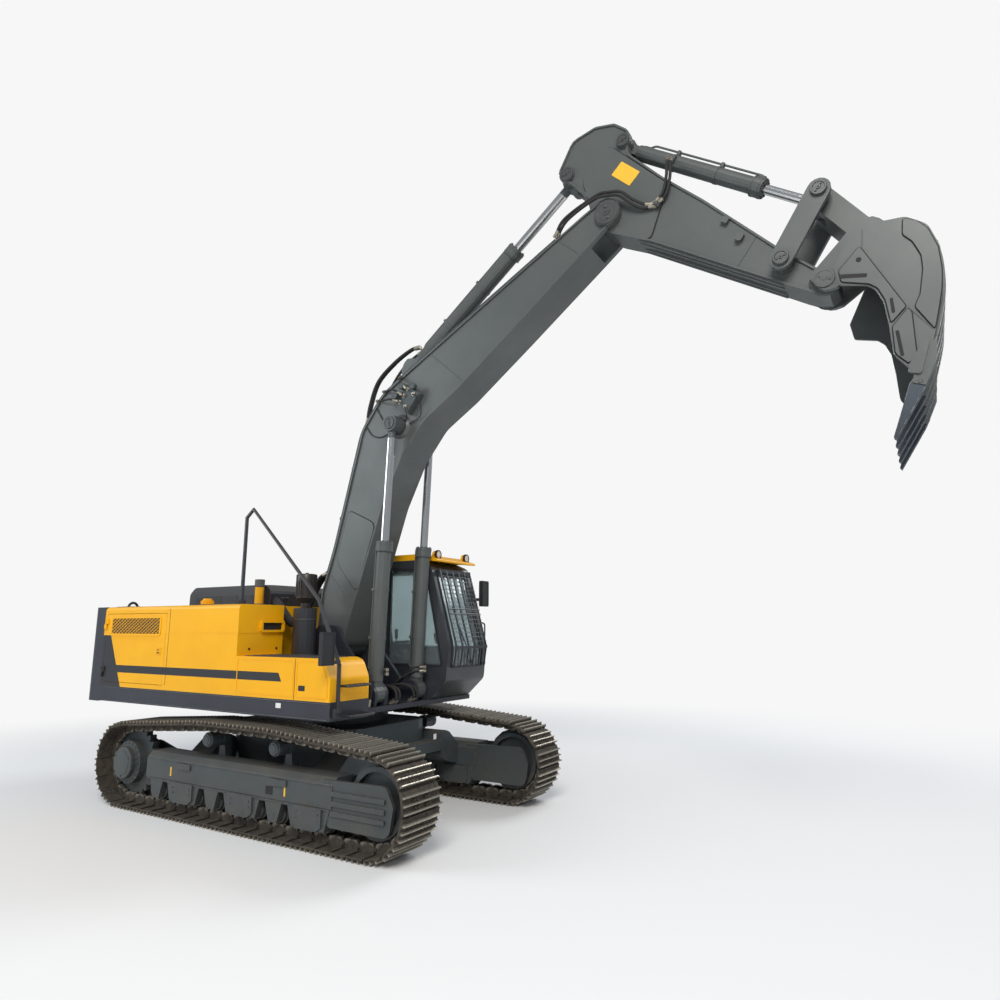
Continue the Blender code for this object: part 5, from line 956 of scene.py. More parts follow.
DOUBLER_EDGE = ((-0.60, 0.30), (-0.63, 0.62), (-0.47, 0.785), (0.50, 0.530), (0.645, -0.112), (0.14, -0.162),
                (-0.20, -0.082), (-0.41, 0.13))


def build_arm():
    """Doubler plates, blank yellow plate, weld seams, lugs, rub bars below and the bucket ram's hoses."""
    seam = both(bead([(1.75, 0.1775, -0.10), (1.77, 0.1775, 0.24)], 0.006))
    lugs = [both(plate(rectangle(1.33, 0.27, 1.41, 0.335, 0.01), 0.174, 0.225)),
            both(plate(rounded_outline(((1.575, 0.215, 0.01), (1.575, 0.13, 0.03), (1.655, 0.13, 0.03),
                                        (1.655, 0.215, 0.01))), 0.174, 0.230))]
    bars = [box((0.50, y - 0.014, -0.158), (2.28, y + 0.014, -0.120)) for y in (-0.150, -0.075, 0.075, 0.150)]
    ring = both(turned(((0.105, 0.174), (0.150, 0.176), (0.140, 0.190), (0.105, 0.200)), (2.65, 0, 0), sides=28))
    piece("arm_plates", "arm", "equipment_grey", raised(DOUBLER_EDGE, 0.174, 0.1935, 0.07), seam, *lugs, *bars, ring,
          place=ARM)
    # a dark rim round the doubler plates: painted shade along their edges
    piece("arm_edge_shade", "arm", "hose_rubber", painted_edge_shade(DOUBLER_EDGE, 0.07, 0.006, 0.1765, 0.1790, 0.012), place=ARM)
    blank = plate(rectangle(-0.155, -0.095, 0.155, 0.095, 0.012), -0.1985, -0.1925)
    piece("arm_blank_plate", "arm", "bare_plate_yellow", blank, place=ARM @ tilted((-0.08, 0, 0.52), -12))
    piece("arm_saddle", "arm", "bolt_steel", box((0.485, -0.252, 0.236), (0.568, -0.176, 0.290)),
          box((0.505, -0.262, 0.246), (0.548, -0.250, 0.280)), place=ARM)
    feed_lines = [[*carried(ARM, ((0.528 - k, -0.222, 0.262), (0.570 - k, -0.225, 0.400), (0.510 - k, -0.222, 0.585),
                                  (0.410 - k, -0.185, 0.745))), carried(BUCKET_RAM, (0.675 - k, -0.122, -0.005))]
                  for k in (0.0, 0.048)]
    hoses("bucket_ram_base", "arm", feed_lines, 0.018, onto="bucket_barrel")
    piece("bucket_ram_port", "bucket_barrel", "equipment_grey", box((0.600, -0.126, -0.045), (0.710, -0.080, 0.040)),
          place=BUCKET_RAM)


# plates welded on the bucket's sides: outline and outer face
SIDE_PLATES = ((((0.222, 0.112), (0.330, 0.098), (0.452, 0.285), (0.522, 0.334), (0.656, 0.352), (0.872, 0.322),
                 (0.786, 0.466), (0.088, 0.330)), 0.7345),
               (((0.915, 0.320), (0.812, 0.474), (0.852, 0.486), (1.225, 0.395), (1.272, 0.322), (1.150, 0.262)),
                0.7355),
               (((0.02, 0.712), (0.158, 0.662), (0.252, 0.706), (0.406, 0.722), (0.533, 0.692), (0.735, 0.600),
                 (0.822, 0.528), (1.066, 0.590), (0.905, 0.676), (0.755, 0.750), (0.60, 0.806), (0.40, 0.848),
                 (0.20, 0.838), (0.09, 0.790)), 0.7335))
SLOTS = (((0.262, 0.108), (0.298, 0.095), (0.392, 0.290), (0.360, 0.305)),
         ((0.668, 0.405), (0.664, 0.380), (0.800, 0.352), (0.806, 0.378)),
         ((0.965, 0.350), (0.962, 0.322), (1.192, 0.285), (1.200, 0.312)))
BUCKET_BACK = ((0.30, 0.872), (0.50, 0.846), (0.76, 0.770), (0.98, 0.655), (1.20, 0.520))
STRIP = ((-0.014, -0.04), (0.012, -0.04), (0.012, 0.04), (-0.014, 0.04))
WORN_TOOTH = ((1.448, 0.4155), (1.523, 0.352), (1.8495, 0.0225), (1.8275, 0.0105), (1.438, 0.2665), (1.387, 0.3345))


def build_bucket():
    """Side plates with slots and a dark rim of painted shade round each, rim plates, wear strips round the back, and
    bare teeth with their pins.
    """
    seams = [both(bead([(x, 0.7205, z) for x, z in line], 0.005)) for line in
             (((0.800, 0.480), (1.060, 0.577)), ((-0.060, 0.400), (0.045, 0.368), (0.090, 0.350)))]
    strips = [swept(eased_path([(x, y, z) for x, z in BUCKET_BACK], 5), STRIP) for y in (-0.60, -0.30, 0.0, 0.30, 0.60)]
    piece("bucket_plates", "bucket", "equipment_grey",
          *[raised(outline, 0.716, face, 0.02) for outline, face in SIDE_PLATES], *seams, *strips, place=BUCKET)
    # dark rims round the side plates: painted shade along their edges; the slots and the round mark are dark fills
    dark = [painted_edge_shade(outline, 0.02, 0.005, 0.7195, 0.7220, 0.011) for outline, face in SIDE_PLATES]
    dark += [raised(slot, 0.7335, 0.7365, 0.012) for slot in SLOTS]
    dark.append(both(drum(0.023, 0.7330, 0.7360, (0.205, 0, 0.285), sides=18)))
    piece("bucket_slots_and_edge_shade", "bucket", "hose_rubber", *dark, place=BUCKET)
    teeth = [(0, y, 0) for y in np.linspace(-0.665, 0.665, 5)]
    lip = plate(((1.328, 0.352), (1.372, 0.4095), (1.378, 0.404), (1.334, 0.346)), -0.718, 0.718)
    piece("bucket_teeth", "bucket", "tooth_steel", strewn(plate(WORN_TOOTH, -0.0455, 0.0455), teeth), lip, place=BUCKET)
    pin = drum(0.017, -0.062, 0.062, (1.452, 0, 0.345), sides=14, bevel=0.003)
    piece("tooth_pins", "bucket", "bolt_steel", strewn(pin, teeth), place=BUCKET)


def ram_fittings(face, radius, gland):
    """Return tube with bends, two bands with saddles, gland bolts and port blocks of one cylinder."""
    line = [(face - 0.075, 0, radius * 0.6), (face - 0.075, 0, radius + 0.040), (0.32, 0, radius + 0.040),
            (0.24, 0, radius * 0.8)]
    bands = []
    for x in (face * 0.36, face * 0.68):
        bands.append(turned(((radius - 0.004, -0.018), (radius + 0.006, -0.018), (radius + 0.006, 0.018),
                             (radius - 0.004, 0.018), (radius - 0.004, -0.018)), (x, 0, 0), "X"))
        bands.append(box((x - 0.018, -0.026, radius), (x + 0.018, 0.026, radius + 0.056)))
    ports = [box((face - 0.115, -0.034, radius * 0.9), (face - 0.035, 0.034, radius + 0.030)),
             box((0.20, -0.034, radius * 0.78), (0.28, 0.034, radius * 0.5 + 0.045))]
    rings = [turned(((gland - 0.014, 0), (gland + 0.004, 0.003), (gland + 0.004, 0.016), (gland - 0.014, 0.019),
                     (gland - 0.014, 0)), (x, 0, 0), "X") for x in (face - 0.128, face - 0.040)]
    bolts = strewn(hexagon(0.010, 0, 0.013, "X"), on_circle((face, 0, 0), gland - 0.020, 8, "X", 22))
    return joined(pipe(bent_path(line, 0.03), 0.0125), *bands, *ports, *rings), bolts


BOOM_RAM_Y = 0.41

# barrel: frame, distance from the middle, length to its face, radius, gland's radius
BARRELS = {"boom_barrel_right": (BOOM_RAM, -BOOM_RAM_Y, 1.912, 0.092, 0.110),
           "boom_barrel_left": (BOOM_RAM, BOOM_RAM_Y, 1.912, 0.092, 0.110),
           "arm_barrel": (ARM_RAM, 0.0, 2.110, 0.102, 0.120), "bucket_barrel": (BUCKET_RAM, 0.0, 1.830, 0.090, 0.108)}


def build_rams():
    """Fittings on every barrel, and the hoses to the boom rams' feet."""
    for name, (place, y, *sizes) in BARRELS.items():
        for label, finish, shell in zip(("fittings", "bolts"), ("equipment_grey", "bolt_steel"), ram_fittings(*sizes)):
            piece(f"{name}_{label}", name, finish, strewn(shell, [(0, y, 0)]), place=place)
    for name, side in SIDES:
        y = side * BOOM_RAM_Y
        paths = [((0.78, side * 0.20, 1.40), (0.94, side * (0.24 + k), 1.58), (1.16, side * (0.30 + k / 2), 1.72 + k),
                  (1.33, side * 0.395, 1.74 + k)) for k in (0.0, 0.05)]
        hoses(f"boom_ram_{name}", "upper", paths, 0.016, UPPER, onto=f"boom_barrel_{name}")


# ---------------------------------------------------------------- house, deck and counterweight

SIDE_FACE = 1.490                       # outer skin of the house's two sides
RIGHT = -SIDE_FACE
BOX_FRONT = -0.152                      # front face of the right half of the house
MESH_LOW, MESH_HIGH = 2.222, 2.438
FOLD_LOW, FOLD_HIGH = 2.150, 2.161
LATCH_INSET, LATCH_Z = 0.13, 1.995

# door: its span along x, side, with a mesh
DOORS = {"right_rear_door": (-3.04, -1.62, -1, True), "left_rear_door": (-3.04, -1.92, 1, True),
         "left_mid_door": (-1.84, -0.50, 1, False)}


def diamond_mesh(low, high, y, pitch=0.080, slope=0.60, radius=0.0074):
    """Two families of wires z = z0 + s (x - k) and their mirror images, each cut to the rectangle."""
    (x0, z0), (x1, z1) = low, high
    run = (z1 - z0) / slope
    wires = []
    for k in np.arange(x0 - run + pitch / 2, x1, pitch):
        a, b = max(k, x0), min(k + run, x1)
        za, zb = z0 + (a - k) * slope, z0 + (b - k) * slope
        for low_z, high_z, depth in ((za, zb, 0), (z0 + z1 - za, z0 + z1 - zb, radius)):
            wires.append(swept([(a, y + depth, low_z), (b, y + depth, high_z)], circle(radius, 4)))
    return joined(*wires)


def studs(low, high, z, pitch=0.062):
    """Raised dots of a non-slip plate on a staggered pattern."""
    first, last = 0.03, 0.02
    xs, ys = np.meshgrid(*[np.arange(a + first, b - last, pitch) for a, b in zip(low, high)])
    xs = xs + (np.arange(len(xs)) % 2)[:, None] * pitch / 2
    keep = xs < high[0] - last
    dot = turned(((0.015, 0), (0.010, 0.006), (0, 0.006)), axis="Z", sides=8)
    return strewn(dot, np.stack((xs[keep], ys[keep], np.full(keep.sum(), z)), -1))


def build_doors():
    """Mesh with its frame and a dark backing that is painted shade, fold line, and a latch with its lock and a dark
    slot of painted shade on each side door.
    """
    for name, (start, end, side, mesh) in DOORS.items():
        def out(depth):
            return side * (SIDE_FACE + depth)

        panel = []
        if mesh:
            inset = 0.10 * (end - start)
            x0, x1 = start + inset, end - inset
            edge = rectangle(x0 - 0.012, MESH_LOW - 0.012, x1 + 0.012, MESH_HIGH + 0.012)
            panel = [rim(edge, out(-0.002), out(0.009), 0.030),
                     diamond_mesh((x0, MESH_LOW), (x1, MESH_HIGH), out(0.004))]
            # a dark sheet behind the mesh: painted shade of the space behind the grille
            grille_shade = plate(rectangle(x0, MESH_LOW, x1, MESH_HIGH), out(0), out(0.0015))
            on_upper(f"{name}_field", "moulded_black", grille_shade, body=name)
        fold_start = start + (0.17 if mesh else 0.02)
        panel.append(box((fold_start, out(-0.003), FOLD_LOW), (end - 0.02, out(0.005), FOLD_HIGH)))
        x = end - LATCH_INSET
        panel += [rim(centred(x, LATCH_Z, 0.052, 0.050, 0.015), out(-0.002), out(0.0035), 0.008),
                  plate(centred(x, LATCH_Z, 0.034, 0.039, 0.010), out(-0.001), out(0.008))]
        # the latch's slot is a dark plate: painted shade in its recess
        slot = plate(centred(x, LATCH_Z - 0.0205, 0.026, 0.0085, 0.006), out(0), out(0.0095))
        lock = drum(0.013, *sorted((0, side * 0.012)), (x, out(0), LATCH_Z + 0.016), sides=16)
        on_upper(f"{name}_panel", "panel_yellow", *panel, body=name)
        on_upper(f"{name}_latch_recess_shade", "moulded_black", slot, body=name)
        on_upper(f"{name}_latch", "bolt_steel", lock, body=name)


def build_house():
    """Fold lines, panel seams, a handle recess painted dark as shade, skirt ridges and non-slip plates."""
    folds = [box((-1.530, RIGHT - 0.005, 2.240), (-0.170, RIGHT + 0.003, 2.251)),
             box((BOX_FRONT, -1.470, 2.240), (-0.1445, -0.800, 2.251)),
             rim(rectangle(-1.15, 2.265, -0.80, 2.385, 0.02), BOX_FRONT, -0.112, 0.030, "front"),
             rim(((-0.115, 1.535), (0.86, 1.535), (0.86, 1.930), (-0.115, 1.930)), RIGHT - 0.005, RIGHT + 0.002, 0.012),
             rim(rounded_outline(((0.92, 1.535, 0.02), (1.405, 1.535, 0.03), (1.405, 1.730, 0.06), (1.325, 1.895, 0.06),
                                  (1.24, 1.930, 0.03), (0.92, 1.930, 0.02))), RIGHT - 0.006, RIGHT + 0.002, 0.012),
             rim(rectangle(-1.46, 1.530, -0.90, 1.570, 0.06), 1.4485, 1.4545, 0.010, "front")]
    on_upper("house_folds", "panel_yellow", *folds)
    seams = [box((0.886, RIGHT - 0.0012, 1.500), (0.894, RIGHT + 0.001, 1.955)),
             box((-1.5555, RIGHT - 0.0010, 1.560), (-1.5485, RIGHT + 0.001, 2.560)),
             # a dark plate inside the fold on the tank's front: painted shade in its handle recess
             plate(rectangle(-1.14, 2.275, -0.81, 2.375, 0.015), -0.1515, -0.1475, "front"),
             *[drum(0.016, -0.150, -0.143, (0, y, 2.045), "X", 16, 0.002) for y in (-1.31, -0.88)],
             plate(rectangle(0.955, 1.60, 1.06, 1.66, 0.01), RIGHT - 0.0015, RIGHT + 0.001)]
    on_upper("house_seams_and_recess_shade", "moulded_black", *seams)
    ridge = ((0.002, 0.010), (-0.004, 0.007), (-0.004, -0.007), (0.002, -0.010))
    ridges = [swept([(-3.03, RIGHT, z), (1.44, RIGHT, z)], ridge, (0, -1, 0)) for z in (1.478, 1.305)]
    on_upper("skirt_ridges", "ballast_grey", *ridges)
    treads = (((-1.08, -1.43), (-0.26, -0.88), 2.600), ((-0.08, -1.43), (1.18, -0.93), 1.965),
              ((-3.02, -1.40), (-2.55, 1.40), 2.600))
    on_upper("non_slip_plates", "lid_black", *[box((*low, z - 0.0005), (*high, z + 0.005)) for low, high, z in treads],
             *[studs(low, high, z + 0.005) for low, high, z in treads])


def build_stacks():
    """Filler cap, exhaust's tip and foot, pre-cleaner's crown and vanes, filter bands and the intake duct."""
    cap, tip, filter_axis = (-1.30, -1.12, 0), (-0.76, -0.70, 0), (0.14, -0.68, 0)
    lid = turned(((0, 2.700), (0.052, 2.700), (0.060, 2.694), (0.062, 2.672), (0.0775, 2.672), (0.0775, 2.620),
                  (0, 2.620)), cap, "Z")
    ribs = strewn(box((-0.006, -0.006, 2.625), (0.006, 0.006, 2.668)), on_circle(cap, 0.077, 18, "Z"))
    on_upper("cap_ribs", "panel_yellow", lid, ribs)
    mouth = turned(((0.0605, 2.86), (0.067, 2.87), (0.067, 2.965), (0.059, 2.968), (0.056, 2.962), (0.056, 2.925),
                    (0, 2.925)), tip, "Z", 28)
    foot = turned(((0, 2.6005), (0.095, 2.6005), (0.095, 2.612), (0.066, 2.618), (0.0605, 2.635), (0, 2.635)), tip,
                  "Z", 28)
    on_upper("exhaust_tip", "engine_iron", mouth, foot,
             strewn(hexagon(0.009, 2.612, 2.622, "Z"), on_circle(tip, 0.082, 4, "Z", 45)))
    crown = turned(((0, 3.026), (0.020, 3.026), (0.026, 3.010), (0.112, 3.008), (0.130, 3.001), (0.1365, 2.988),
                    (0.1365, 2.905), (0, 2.905)), filter_axis, "Z", 36)
    vanes = strewn(box((-0.004, -0.004, 2.715), (0.004, 0.004, 2.900)), on_circle(filter_axis, 0.1325, 24, "Z"))
    on_upper("cleaner_vanes", "cleaner_bronze", crown, vanes)
    bands = [turned(((0.146, z), (0.1545, z + 0.004), (0.1545, z + 0.022), (0.146, z + 0.026), (0.146, z)),
                    filter_axis, "Z", 32) for z in (1.52, 1.95, 2.40)]
    on_upper("filter_bands", "bolt_steel", *bands)
    duct = pipe(eased_path([(0.00, -0.66, 2.36), (-0.22, -0.62, 2.40), (-0.52, -0.56, 2.62), (-0.74, -0.48, 2.70)]),
                0.062, (0, 0, 1), 20)
    ring = turned(((0.060, -0.006), (0.069, 0), (0.060, 0.006)), (-0.09, -0.645, 2.372), "X", 20)
    on_upper("intake_duct", "moulded_black", duct, ring)


def build_lid():
    """Louvres on the sides and the top of the engine hood, and its two handles."""
    louvres = [box((x, side * 0.619, z), (x + 0.28, side * 0.632, z + 0.011)) for side in (-1, 1)
               for z in (2.650, 2.682, 2.714, 2.746) for x in (-2.28, -1.94, -1.60, -1.26)]
    louvres.append(rim(rectangle(-2.20, -0.46, -0.84, 0.46, 0.08), 2.898, 2.908, 0.05, "plan"))
    louvres += [box((x, -0.38, 2.899), (x + 0.022, 0.38, 2.910)) for x in np.arange(-2.08, -0.95, 0.085)]
    for y in (-0.40, 0.40):
        louvres.append(pipe(bent_path([(-0.615, y - 0.07, 2.70), (-0.575, y - 0.07, 2.72), (-0.575, y + 0.07, 2.72),
                                       (-0.615, y + 0.07, 2.70)], 0.02), 0.009, (0, 0, 1)))
    on_upper("lid_louvres", "lid_black", *louvres, body="engine_hood")


def build_tail():
    """Counterweight: lifting eyes with their feet, rear camera and tail lamps."""
    eyes = []
    x, reach = -3.34, 0.075
    turn = np.linspace(0, np.pi, 13)
    for y in (-0.95, 0.95):
        arch = np.stack((x + 0 * turn, y + reach * np.cos(turn), 2.600 + 0.085 * np.sin(turn)), -1)
        line = np.vstack(([(x, y + reach, 2.590)], arch, [(x, y - reach, 2.590)]))
        eyes += [pipe(line, 0.019, (1, 0, 0), 12),
                 turned(((0, 2.5995), (0.125, 2.5995), (0.120, 2.609), (0, 2.610)), (x, y, 0), "Z")]
    on_upper("tail_eyes", "ballast_grey", *eyes)
    camera = rounded_outline(((-3.58, 2.600, 0.01), (-3.46, 2.600, 0.01), (-3.46, 2.660, 0.02), (-3.58, 2.672, 0.02)))
    on_upper("tail_camera", "moulded_black", plate(camera, -0.045, 0.045))
    on_upper("tail_camera_lens", "lamp_glass",
             turned(((0, -0.006), (0.014, -0.005), (0.020, 0.002), (0.020, 0.008)), (-3.580, 0, 2.634), "X", 20))
    for name, side in SIDES:
        lamp = centred(side * 0.78, 1.70, 0.085, 0.04, 0.02)
        on_upper(f"tail_lamp_{name}", "signal_red", plate(lamp, -3.648, -3.615, "front"))
        on_upper(f"tail_bezel_{name}", "moulded_black", rim(lamp, -3.650, -3.612, 0.016, "front"))


MOTOR = (0.62, -0.62, 0)


def build_deck():
    """What stands on the deck before the tool box: swing motor, valve, hoses, steps, and a blank plate on the skirt."""
    motor = turned(((0, 1.351), (0.150, 1.351), (0.150, 1.405), (0.118, 1.420), (0.118, 1.560), (0.128, 1.566),
                    (0.128, 1.590), (0.092, 1.600), (0.092, 1.730), (0.080, 1.742), (0, 1.742)), MOTOR, "Z", 32)
    block = [plate(rectangle(0.84, -0.76, 1.14, -0.56, 0.02), 1.351, 1.600, "plan"),
             box((0.90, -0.72, 1.600), (1.08, -0.60, 1.655))]
    on_upper("deck_motor", "frame_grey", motor, *block)
    bolts = [strewn(hexagon(0.012, 1.405, 1.420, "Z"), on_circle(MOTOR, 0.135, 12, "Z")),
             strewn(hexagon(0.010, 1.742, 1.754, "Z"), on_circle(MOTOR, 0.062, 6, "Z")),
             strewn(hexagon(0.024, 1.600, 1.628, "Z"), [(x, y, 0) for y in (-0.73, -0.59) for x in (0.87, 1.11)])]
    on_upper("deck_bolts", "bolt_steel", *bolts)
    hoses("deck", "upper", (
        ((0.87, -0.73, 1.625), (0.84, -0.76, 1.80), (0.66, -0.76, 1.86), (0.62, -0.72, 1.700)),
        ((1.11, -0.73, 1.625), (1.13, -0.77, 1.82), (0.96, -0.80, 1.92), (0.70, -0.79, 1.84), (0.44, -0.74, 1.50)),
        ((0.87, -0.59, 1.625), (0.80, -0.57, 1.78), (0.50, -0.56, 1.82), (0.36, -0.58, 1.60), (0.34, -0.60, 1.36)),
        ((1.11, -0.59, 1.625), (1.19, -0.57, 1.76), (1.24, -0.58, 1.56), (1.22, -0.60, 1.36))), place=UPPER)
    steps = []
    for z, reach in ((1.345, 0.19), (1.665, 0.12)):
        front = 1.46 + reach
        steps.append(pipe(bent_path([(1.455, -1.34, z), (front, -1.34, z), (front, -0.96, z), (1.455, -0.96, z)], 0.04),
                          0.014, (0, 0, 1)))
        steps += [box((1.455, y, z - 0.004), (front, y + 0.010, z + 0.012)) for y in np.arange(-1.30, -0.99, 0.045)]
        steps.append(box((1.46 + reach / 2, -1.34, z - 0.006), (1.472 + reach / 2, -0.96, z + 0.006)))
    on_upper("steps", "lid_black", *steps)
    on_upper("skirt_plate", "bare_plate_white", plate(rectangle(0.60, 1.395, 0.685, 1.450, 0.006), -1.4925, -1.4895))
    loops = [[(x, y * share, z) for x, share, z in ((1.24, 1, 1.36), (1.33, 0.96, 1.44), (1.28, 0.9, 1.54),
                                                    (1.08, 0.8, 1.57), (0.86, 0.72, 1.50), (0.74, 0.7, 1.36))]
             for y in (-0.22, -0.15, 0.15, 0.22)]
    hoses("bracket", "upper", loops, 0.017, UPPER)


# ---------------------------------------------------------------- cab

NOSE = ((1.579, 1.780), (1.597, 1.975), (1.597, 2.050), (1.585, 2.122), (1.302, 3.100))
STRIP_WIDE = ((-0.016, -0.006), (0.016, -0.006), (0.016, 0.006), (-0.016, 0.006))
CAB_LEFT = 1.468                        # outer face of the cab's left side


def build_cab():
    """Gaskets, wiper, grab rail, guard bars, door furniture, roof seam, lamps and mirrors."""
    right_side = [eased(shape, 0.06) for shape in (((0.56, 1.80), (1.50, 1.80), (1.20, 3.10), (0.56, 3.14)),
                                                   ((-0.24, 2.05), (0.48, 2.05), (0.48, 3.14), (-0.24, 3.14)))]
    seals = [rim(shape, 0.5235, 0.5320, 0.034) for shape in right_side]
    seals.append(rim(rectangle(-0.24, 2.05, 0.26, 3.14, 0.06), CAB_LEFT, 1.4765, 0.034))
    for y in (0.630, 1.370):
        seals.append(swept([(x, y, z) for x, z in NOSE], [(b, a) for a, b in STRIP_WIDE]))
    for x, z in (NOSE[0], NOSE[-1]):
        seals.append(swept([(x, 0.62, z), (x, 1.38, z)], STRIP_WIDE, (0, 0, 1)))
    on_upper("cab_seals", "moulded_black", *seals)
    wiper = [pipe(bent_path([(1.595, 1.10, 1.84), (1.606, 1.02, 1.96), (1.520, 0.84, 2.40)], 0.04), 0.007, (0, 1, 0.1)),
             swept([(1.601, 0.90, 2.12), (1.462, 0.80, 2.60)],
                   ((-0.004, -0.010), (0.004, -0.010), (0.004, 0.010), (-0.004, 0.010))),
             drum(0.022, -0.012, 0.014, (1.588, 1.10, 1.84), "X", 16, 0.003)]
    rail = bent_path([(1.545, CAB_LEFT, 1.76), (1.545, 1.515, 1.78), (1.545, 1.515, 2.36), (1.530, CAB_LEFT, 2.38)],
                     0.03)
    gutter = box((-0.30, 1.4695, 3.205), (1.08, 1.4790, 3.222))
    bars = [swept([(1.675 - 0.2897 * (z - 2.05), y, z) for y in (0.612, 1.388)], circle(radius, 8), (0, 0, 1))
            for z, radius in [(2.50, 0.011), (2.565, 0.011), *[(z, 0.0045) for z in np.arange(2.12, 3.08, 0.060)]]]
    on_upper("cab_fittings", "lid_black", *wiper, pipe(rail, 0.011, (1, 0, 0)), gutter, *bars)
    door = eased(((0.44, 2.02), (1.44, 2.02), (1.17, 3.04), (0.44, 3.06)), 0.05)
    furniture = [rim(door, 1.4685, 1.4765, 0.032), plate(rectangle(1.16, 1.80, 1.34, 1.92, 0.02), CAB_LEFT, 1.473),
                 rim(rectangle(0.46, 1.50, 1.18, 1.74, 0.06), CAB_LEFT, 1.4735, 0.014)]
    on_upper("door_seal", "moulded_black", *furniture, body="cab_door")
    grip = bent_path([(1.18, 1.470, 1.86), (1.20, 1.505, 1.86), (1.30, 1.505, 1.86), (1.32, 1.470, 1.86)], 0.02)
    on_upper("door_grip", "bolt_steel", pipe(grip, 0.008, (0, 0, 1)), body="cab_door")
    on_upper("roof_seam", "moulded_black", rim(rectangle(-0.20, 0.66, 0.96, 1.34, 0.12), 3.3345, 3.3385, 0.030, "plan"))
    for name, y in (("right", 0.65), ("left", 1.35)):
        on_upper(f"lamp_bezel_{name}", "moulded_black",
                 turned(((0.061, -0.030), (0.066, -0.026), (0.066, 0.006), (0.052, 0.010), (0.052, 0.002)),
                        (1.320, y, 3.322), "X", 28))
        on_upper(f"lamp_lens_{name}", "lamp_glass",
                 turned(((0, 0.012), (0.026, 0.010), (0.046, 0.004), (0.0525, -0.002), (0.0525, -0.010), (0, -0.010)),
                        (1.322, y, 3.322), "X", 28))
    for name, glass, x in (("right", rectangle(-1.690, 1.915, -1.530, 2.245, 0.02), 1.469),
                           ("left", rectangle(1.560, 2.635, 1.710, 2.985, 0.02), 1.419)):
        on_upper(f"mirror_face_{name}", "mirror_face", plate(glass, x - 0.0015, x + 0.002, "front"))
        on_upper(f"mirror_edge_{name}", "moulded_black", rim(glass, x - 0.004, x + 0.066, 0.016, "front"))


def build_controls():
    """What is seen inside the cab: screen on its stalk, two hand levers, two pedals with rods, and a desk."""
    screen = [moved(plate(rectangle(-0.11, -0.075, 0.11, 0.075, 0.02), -0.015, 0.015, "front"),
                    tilted((1.30, 0.74, 2.16), 18)), pipe([(1.315, 0.74, 2.09), (1.36, 0.74, 1.70)], 0.014)]
    knob = ((0, 2.150), (0.020, 2.156), (0.026, 2.190), (0.022, 2.235), (0.028, 2.268), (0.016, 2.290), (0, 2.292))
    levers = []
    for y in (0.66, 1.27):
        levers.append(pipe(bent_path([(0.56, y, 1.98), (0.60, y, 2.08), (0.585, y, 2.18)], 0.03), 0.010))
        levers.append(turned(knob, (0.584, y, 0), "Z", 18))
    for y in (0.90, 1.02):
        levers.append(pipe(bent_path([(1.16, y, 1.42), (1.20, y, 1.70), (1.10, y, 2.00)], 0.06), 0.010))
        levers.append(plate(((1.10, 1.415), (1.32, 1.475), (1.315, 1.495), (1.095, 1.435)), y - 0.05, y + 0.05))
    desk = rounded_outline(((0.14, 1.42, 0.02), (0.62, 1.42, 0.02), (0.64, 1.94, 0.06), (0.16, 1.99, 0.05)))
    on_upper("cab_controls", "moulded_black", *screen, *levers, plate(desk, 0.600, 0.725))


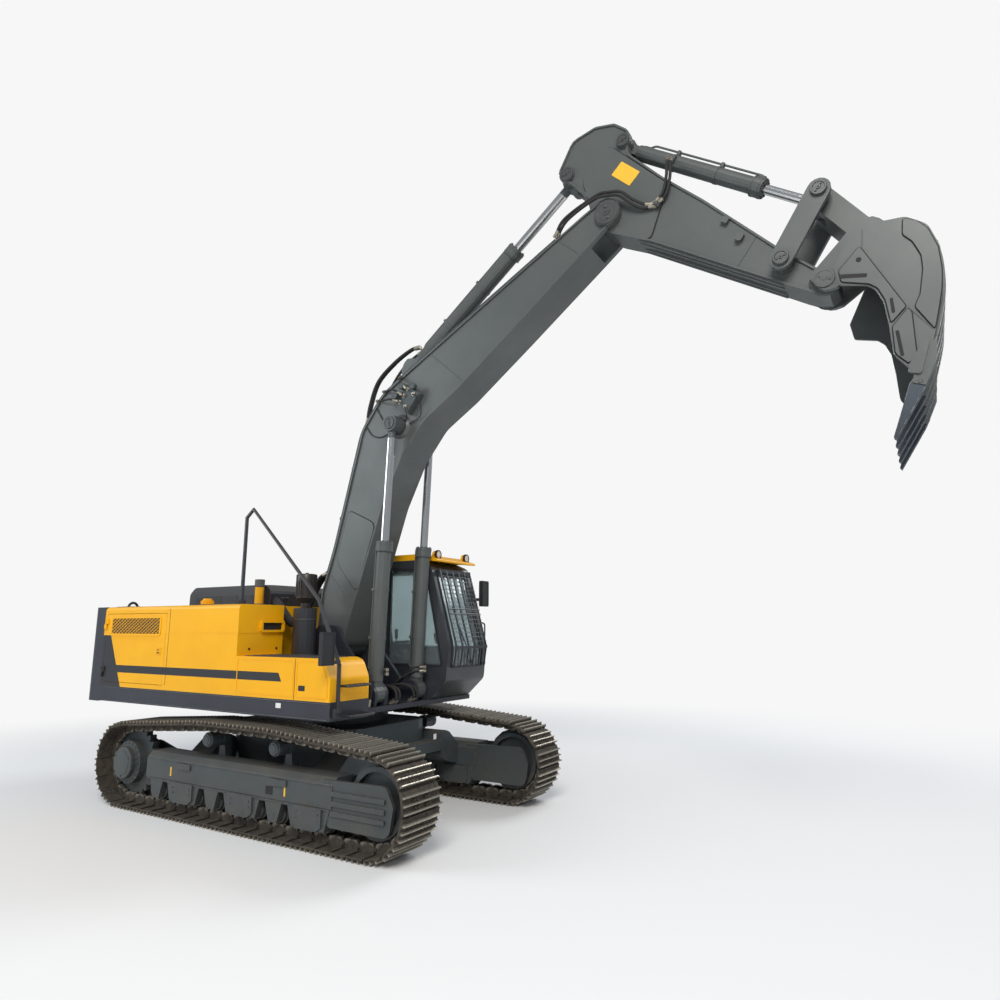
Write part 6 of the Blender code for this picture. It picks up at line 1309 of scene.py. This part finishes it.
def cushion(half, crown, channels=(), e=0.30):
    """A padded block: p = (a C(u) C(v), b C(u) S(v), h S(u)) with C = cos|cos|^(e-1); its top rises by
    crown (1-x^2)(1-y^2) and sinks by 7 mm exp(-((y - c) / 14 mm)^2) at each sewn channel c."""
    u = np.linspace(-np.pi / 2, np.pi / 2, 34)[:, None]
    v = np.linspace(0, 2 * np.pi, 88, endpoint=False)[None]

    def power(wave):
        return np.sign(wave) * np.abs(wave) ** e

    x, y = power(np.cos(u)) * power(np.cos(v)), power(np.cos(u)) * power(np.sin(v))
    z = power(np.sin(u)) * np.ones_like(v)
    swell = crown * (1 - x ** 2) * (1 - y ** 2) * (z > 0) * np.abs(z)
    waist = 1 - 0.05 * (1 - np.abs(z))
    points = np.stack((half[0] * x * waist, half[1] * y * waist, half[2] * z + swell), -1)
    for c in channels:
        points[..., 2] -= 0.007 * np.exp(-((points[..., 1] - c) / 0.014) ** 2) * (z > 0.5)
    return grid(points, wrap=True)


SEAT_Y = 0.95
SEWN = (-0.12, 0.12)
FACING_FRONT = np.diag((1, 1, -1, 1))


def build_seat():
    """Driver's seat: cushion, backrest and headrest of cloth, on a bellows base, with armrests."""
    soft = [piece(f"seat_{label}", "upper", "seat_cloth", cushion(half, crown, channels),
                  place=UPPER @ tilted((x, SEAT_Y, z), lean) @ facing)
            for label, half, crown, channels, x, z, lean, facing in (
                ("cushion", (0.295, 0.235, 0.075), 0.022, SEWN, 0.345, 1.880, 4, WORLD),
                ("back", (0.370, 0.230, 0.060), 0.024, SEWN, 0.010, 2.285, 102, FACING_FRONT),
                ("headrest", (0.095, 0.140, 0.050), 0.012, (), -0.075, 2.760, 102, FACING_FRONT))]
    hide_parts("seat")
    folds = []
    for k, z in enumerate(np.linspace(1.43, 1.80, 13)):
        grown = 0.014 if k % 2 else 0.0
        fold = rectangle(0.10 - grown, 0.76 - grown, 0.52 + grown, 1.14 + grown, 0.05)
        folds.append(np.column_stack((fold, np.full(len(fold), z))))
    plinth = plate(rectangle(0.08, 0.74, 0.54, 1.16, 0.03), 1.401, 1.432, "plan")
    pan = plate(rectangle(0.08, 0.74, 0.56, 1.16, 0.05), 1.798, 1.815, "plan")
    arms = [moved(plate(eased(((0, -0.022), (0.34, -0.018), (0.34, 0.022), (0, 0.022)), 0.02), y - 0.032, y + 0.032),
                  tilted((0.03, 0, 2.080), 3)) for y in (0.672, 1.228)]
    posts = [pipe([(-0.06, SEAT_Y + s * 0.05, 2.60), (-0.075, SEAT_Y + s * 0.05, 2.74)], 0.007) for s in (-1, 1)]
    on_upper("seat_base", "moulded_black", grid(np.stack(folds), wrap=True), plinth, pan, *arms, *posts)


place_camera()
build_studio()
FINISHES = make_finishes()
finish_nodes()
for build in (build_tracks, build_rollers, build_ring, build_pins, build_boom, build_arm, build_bucket, build_rams,
              build_doors, build_house, build_stacks, build_lid, build_tail, build_deck, build_cab, build_controls,
              build_seat):
    build()
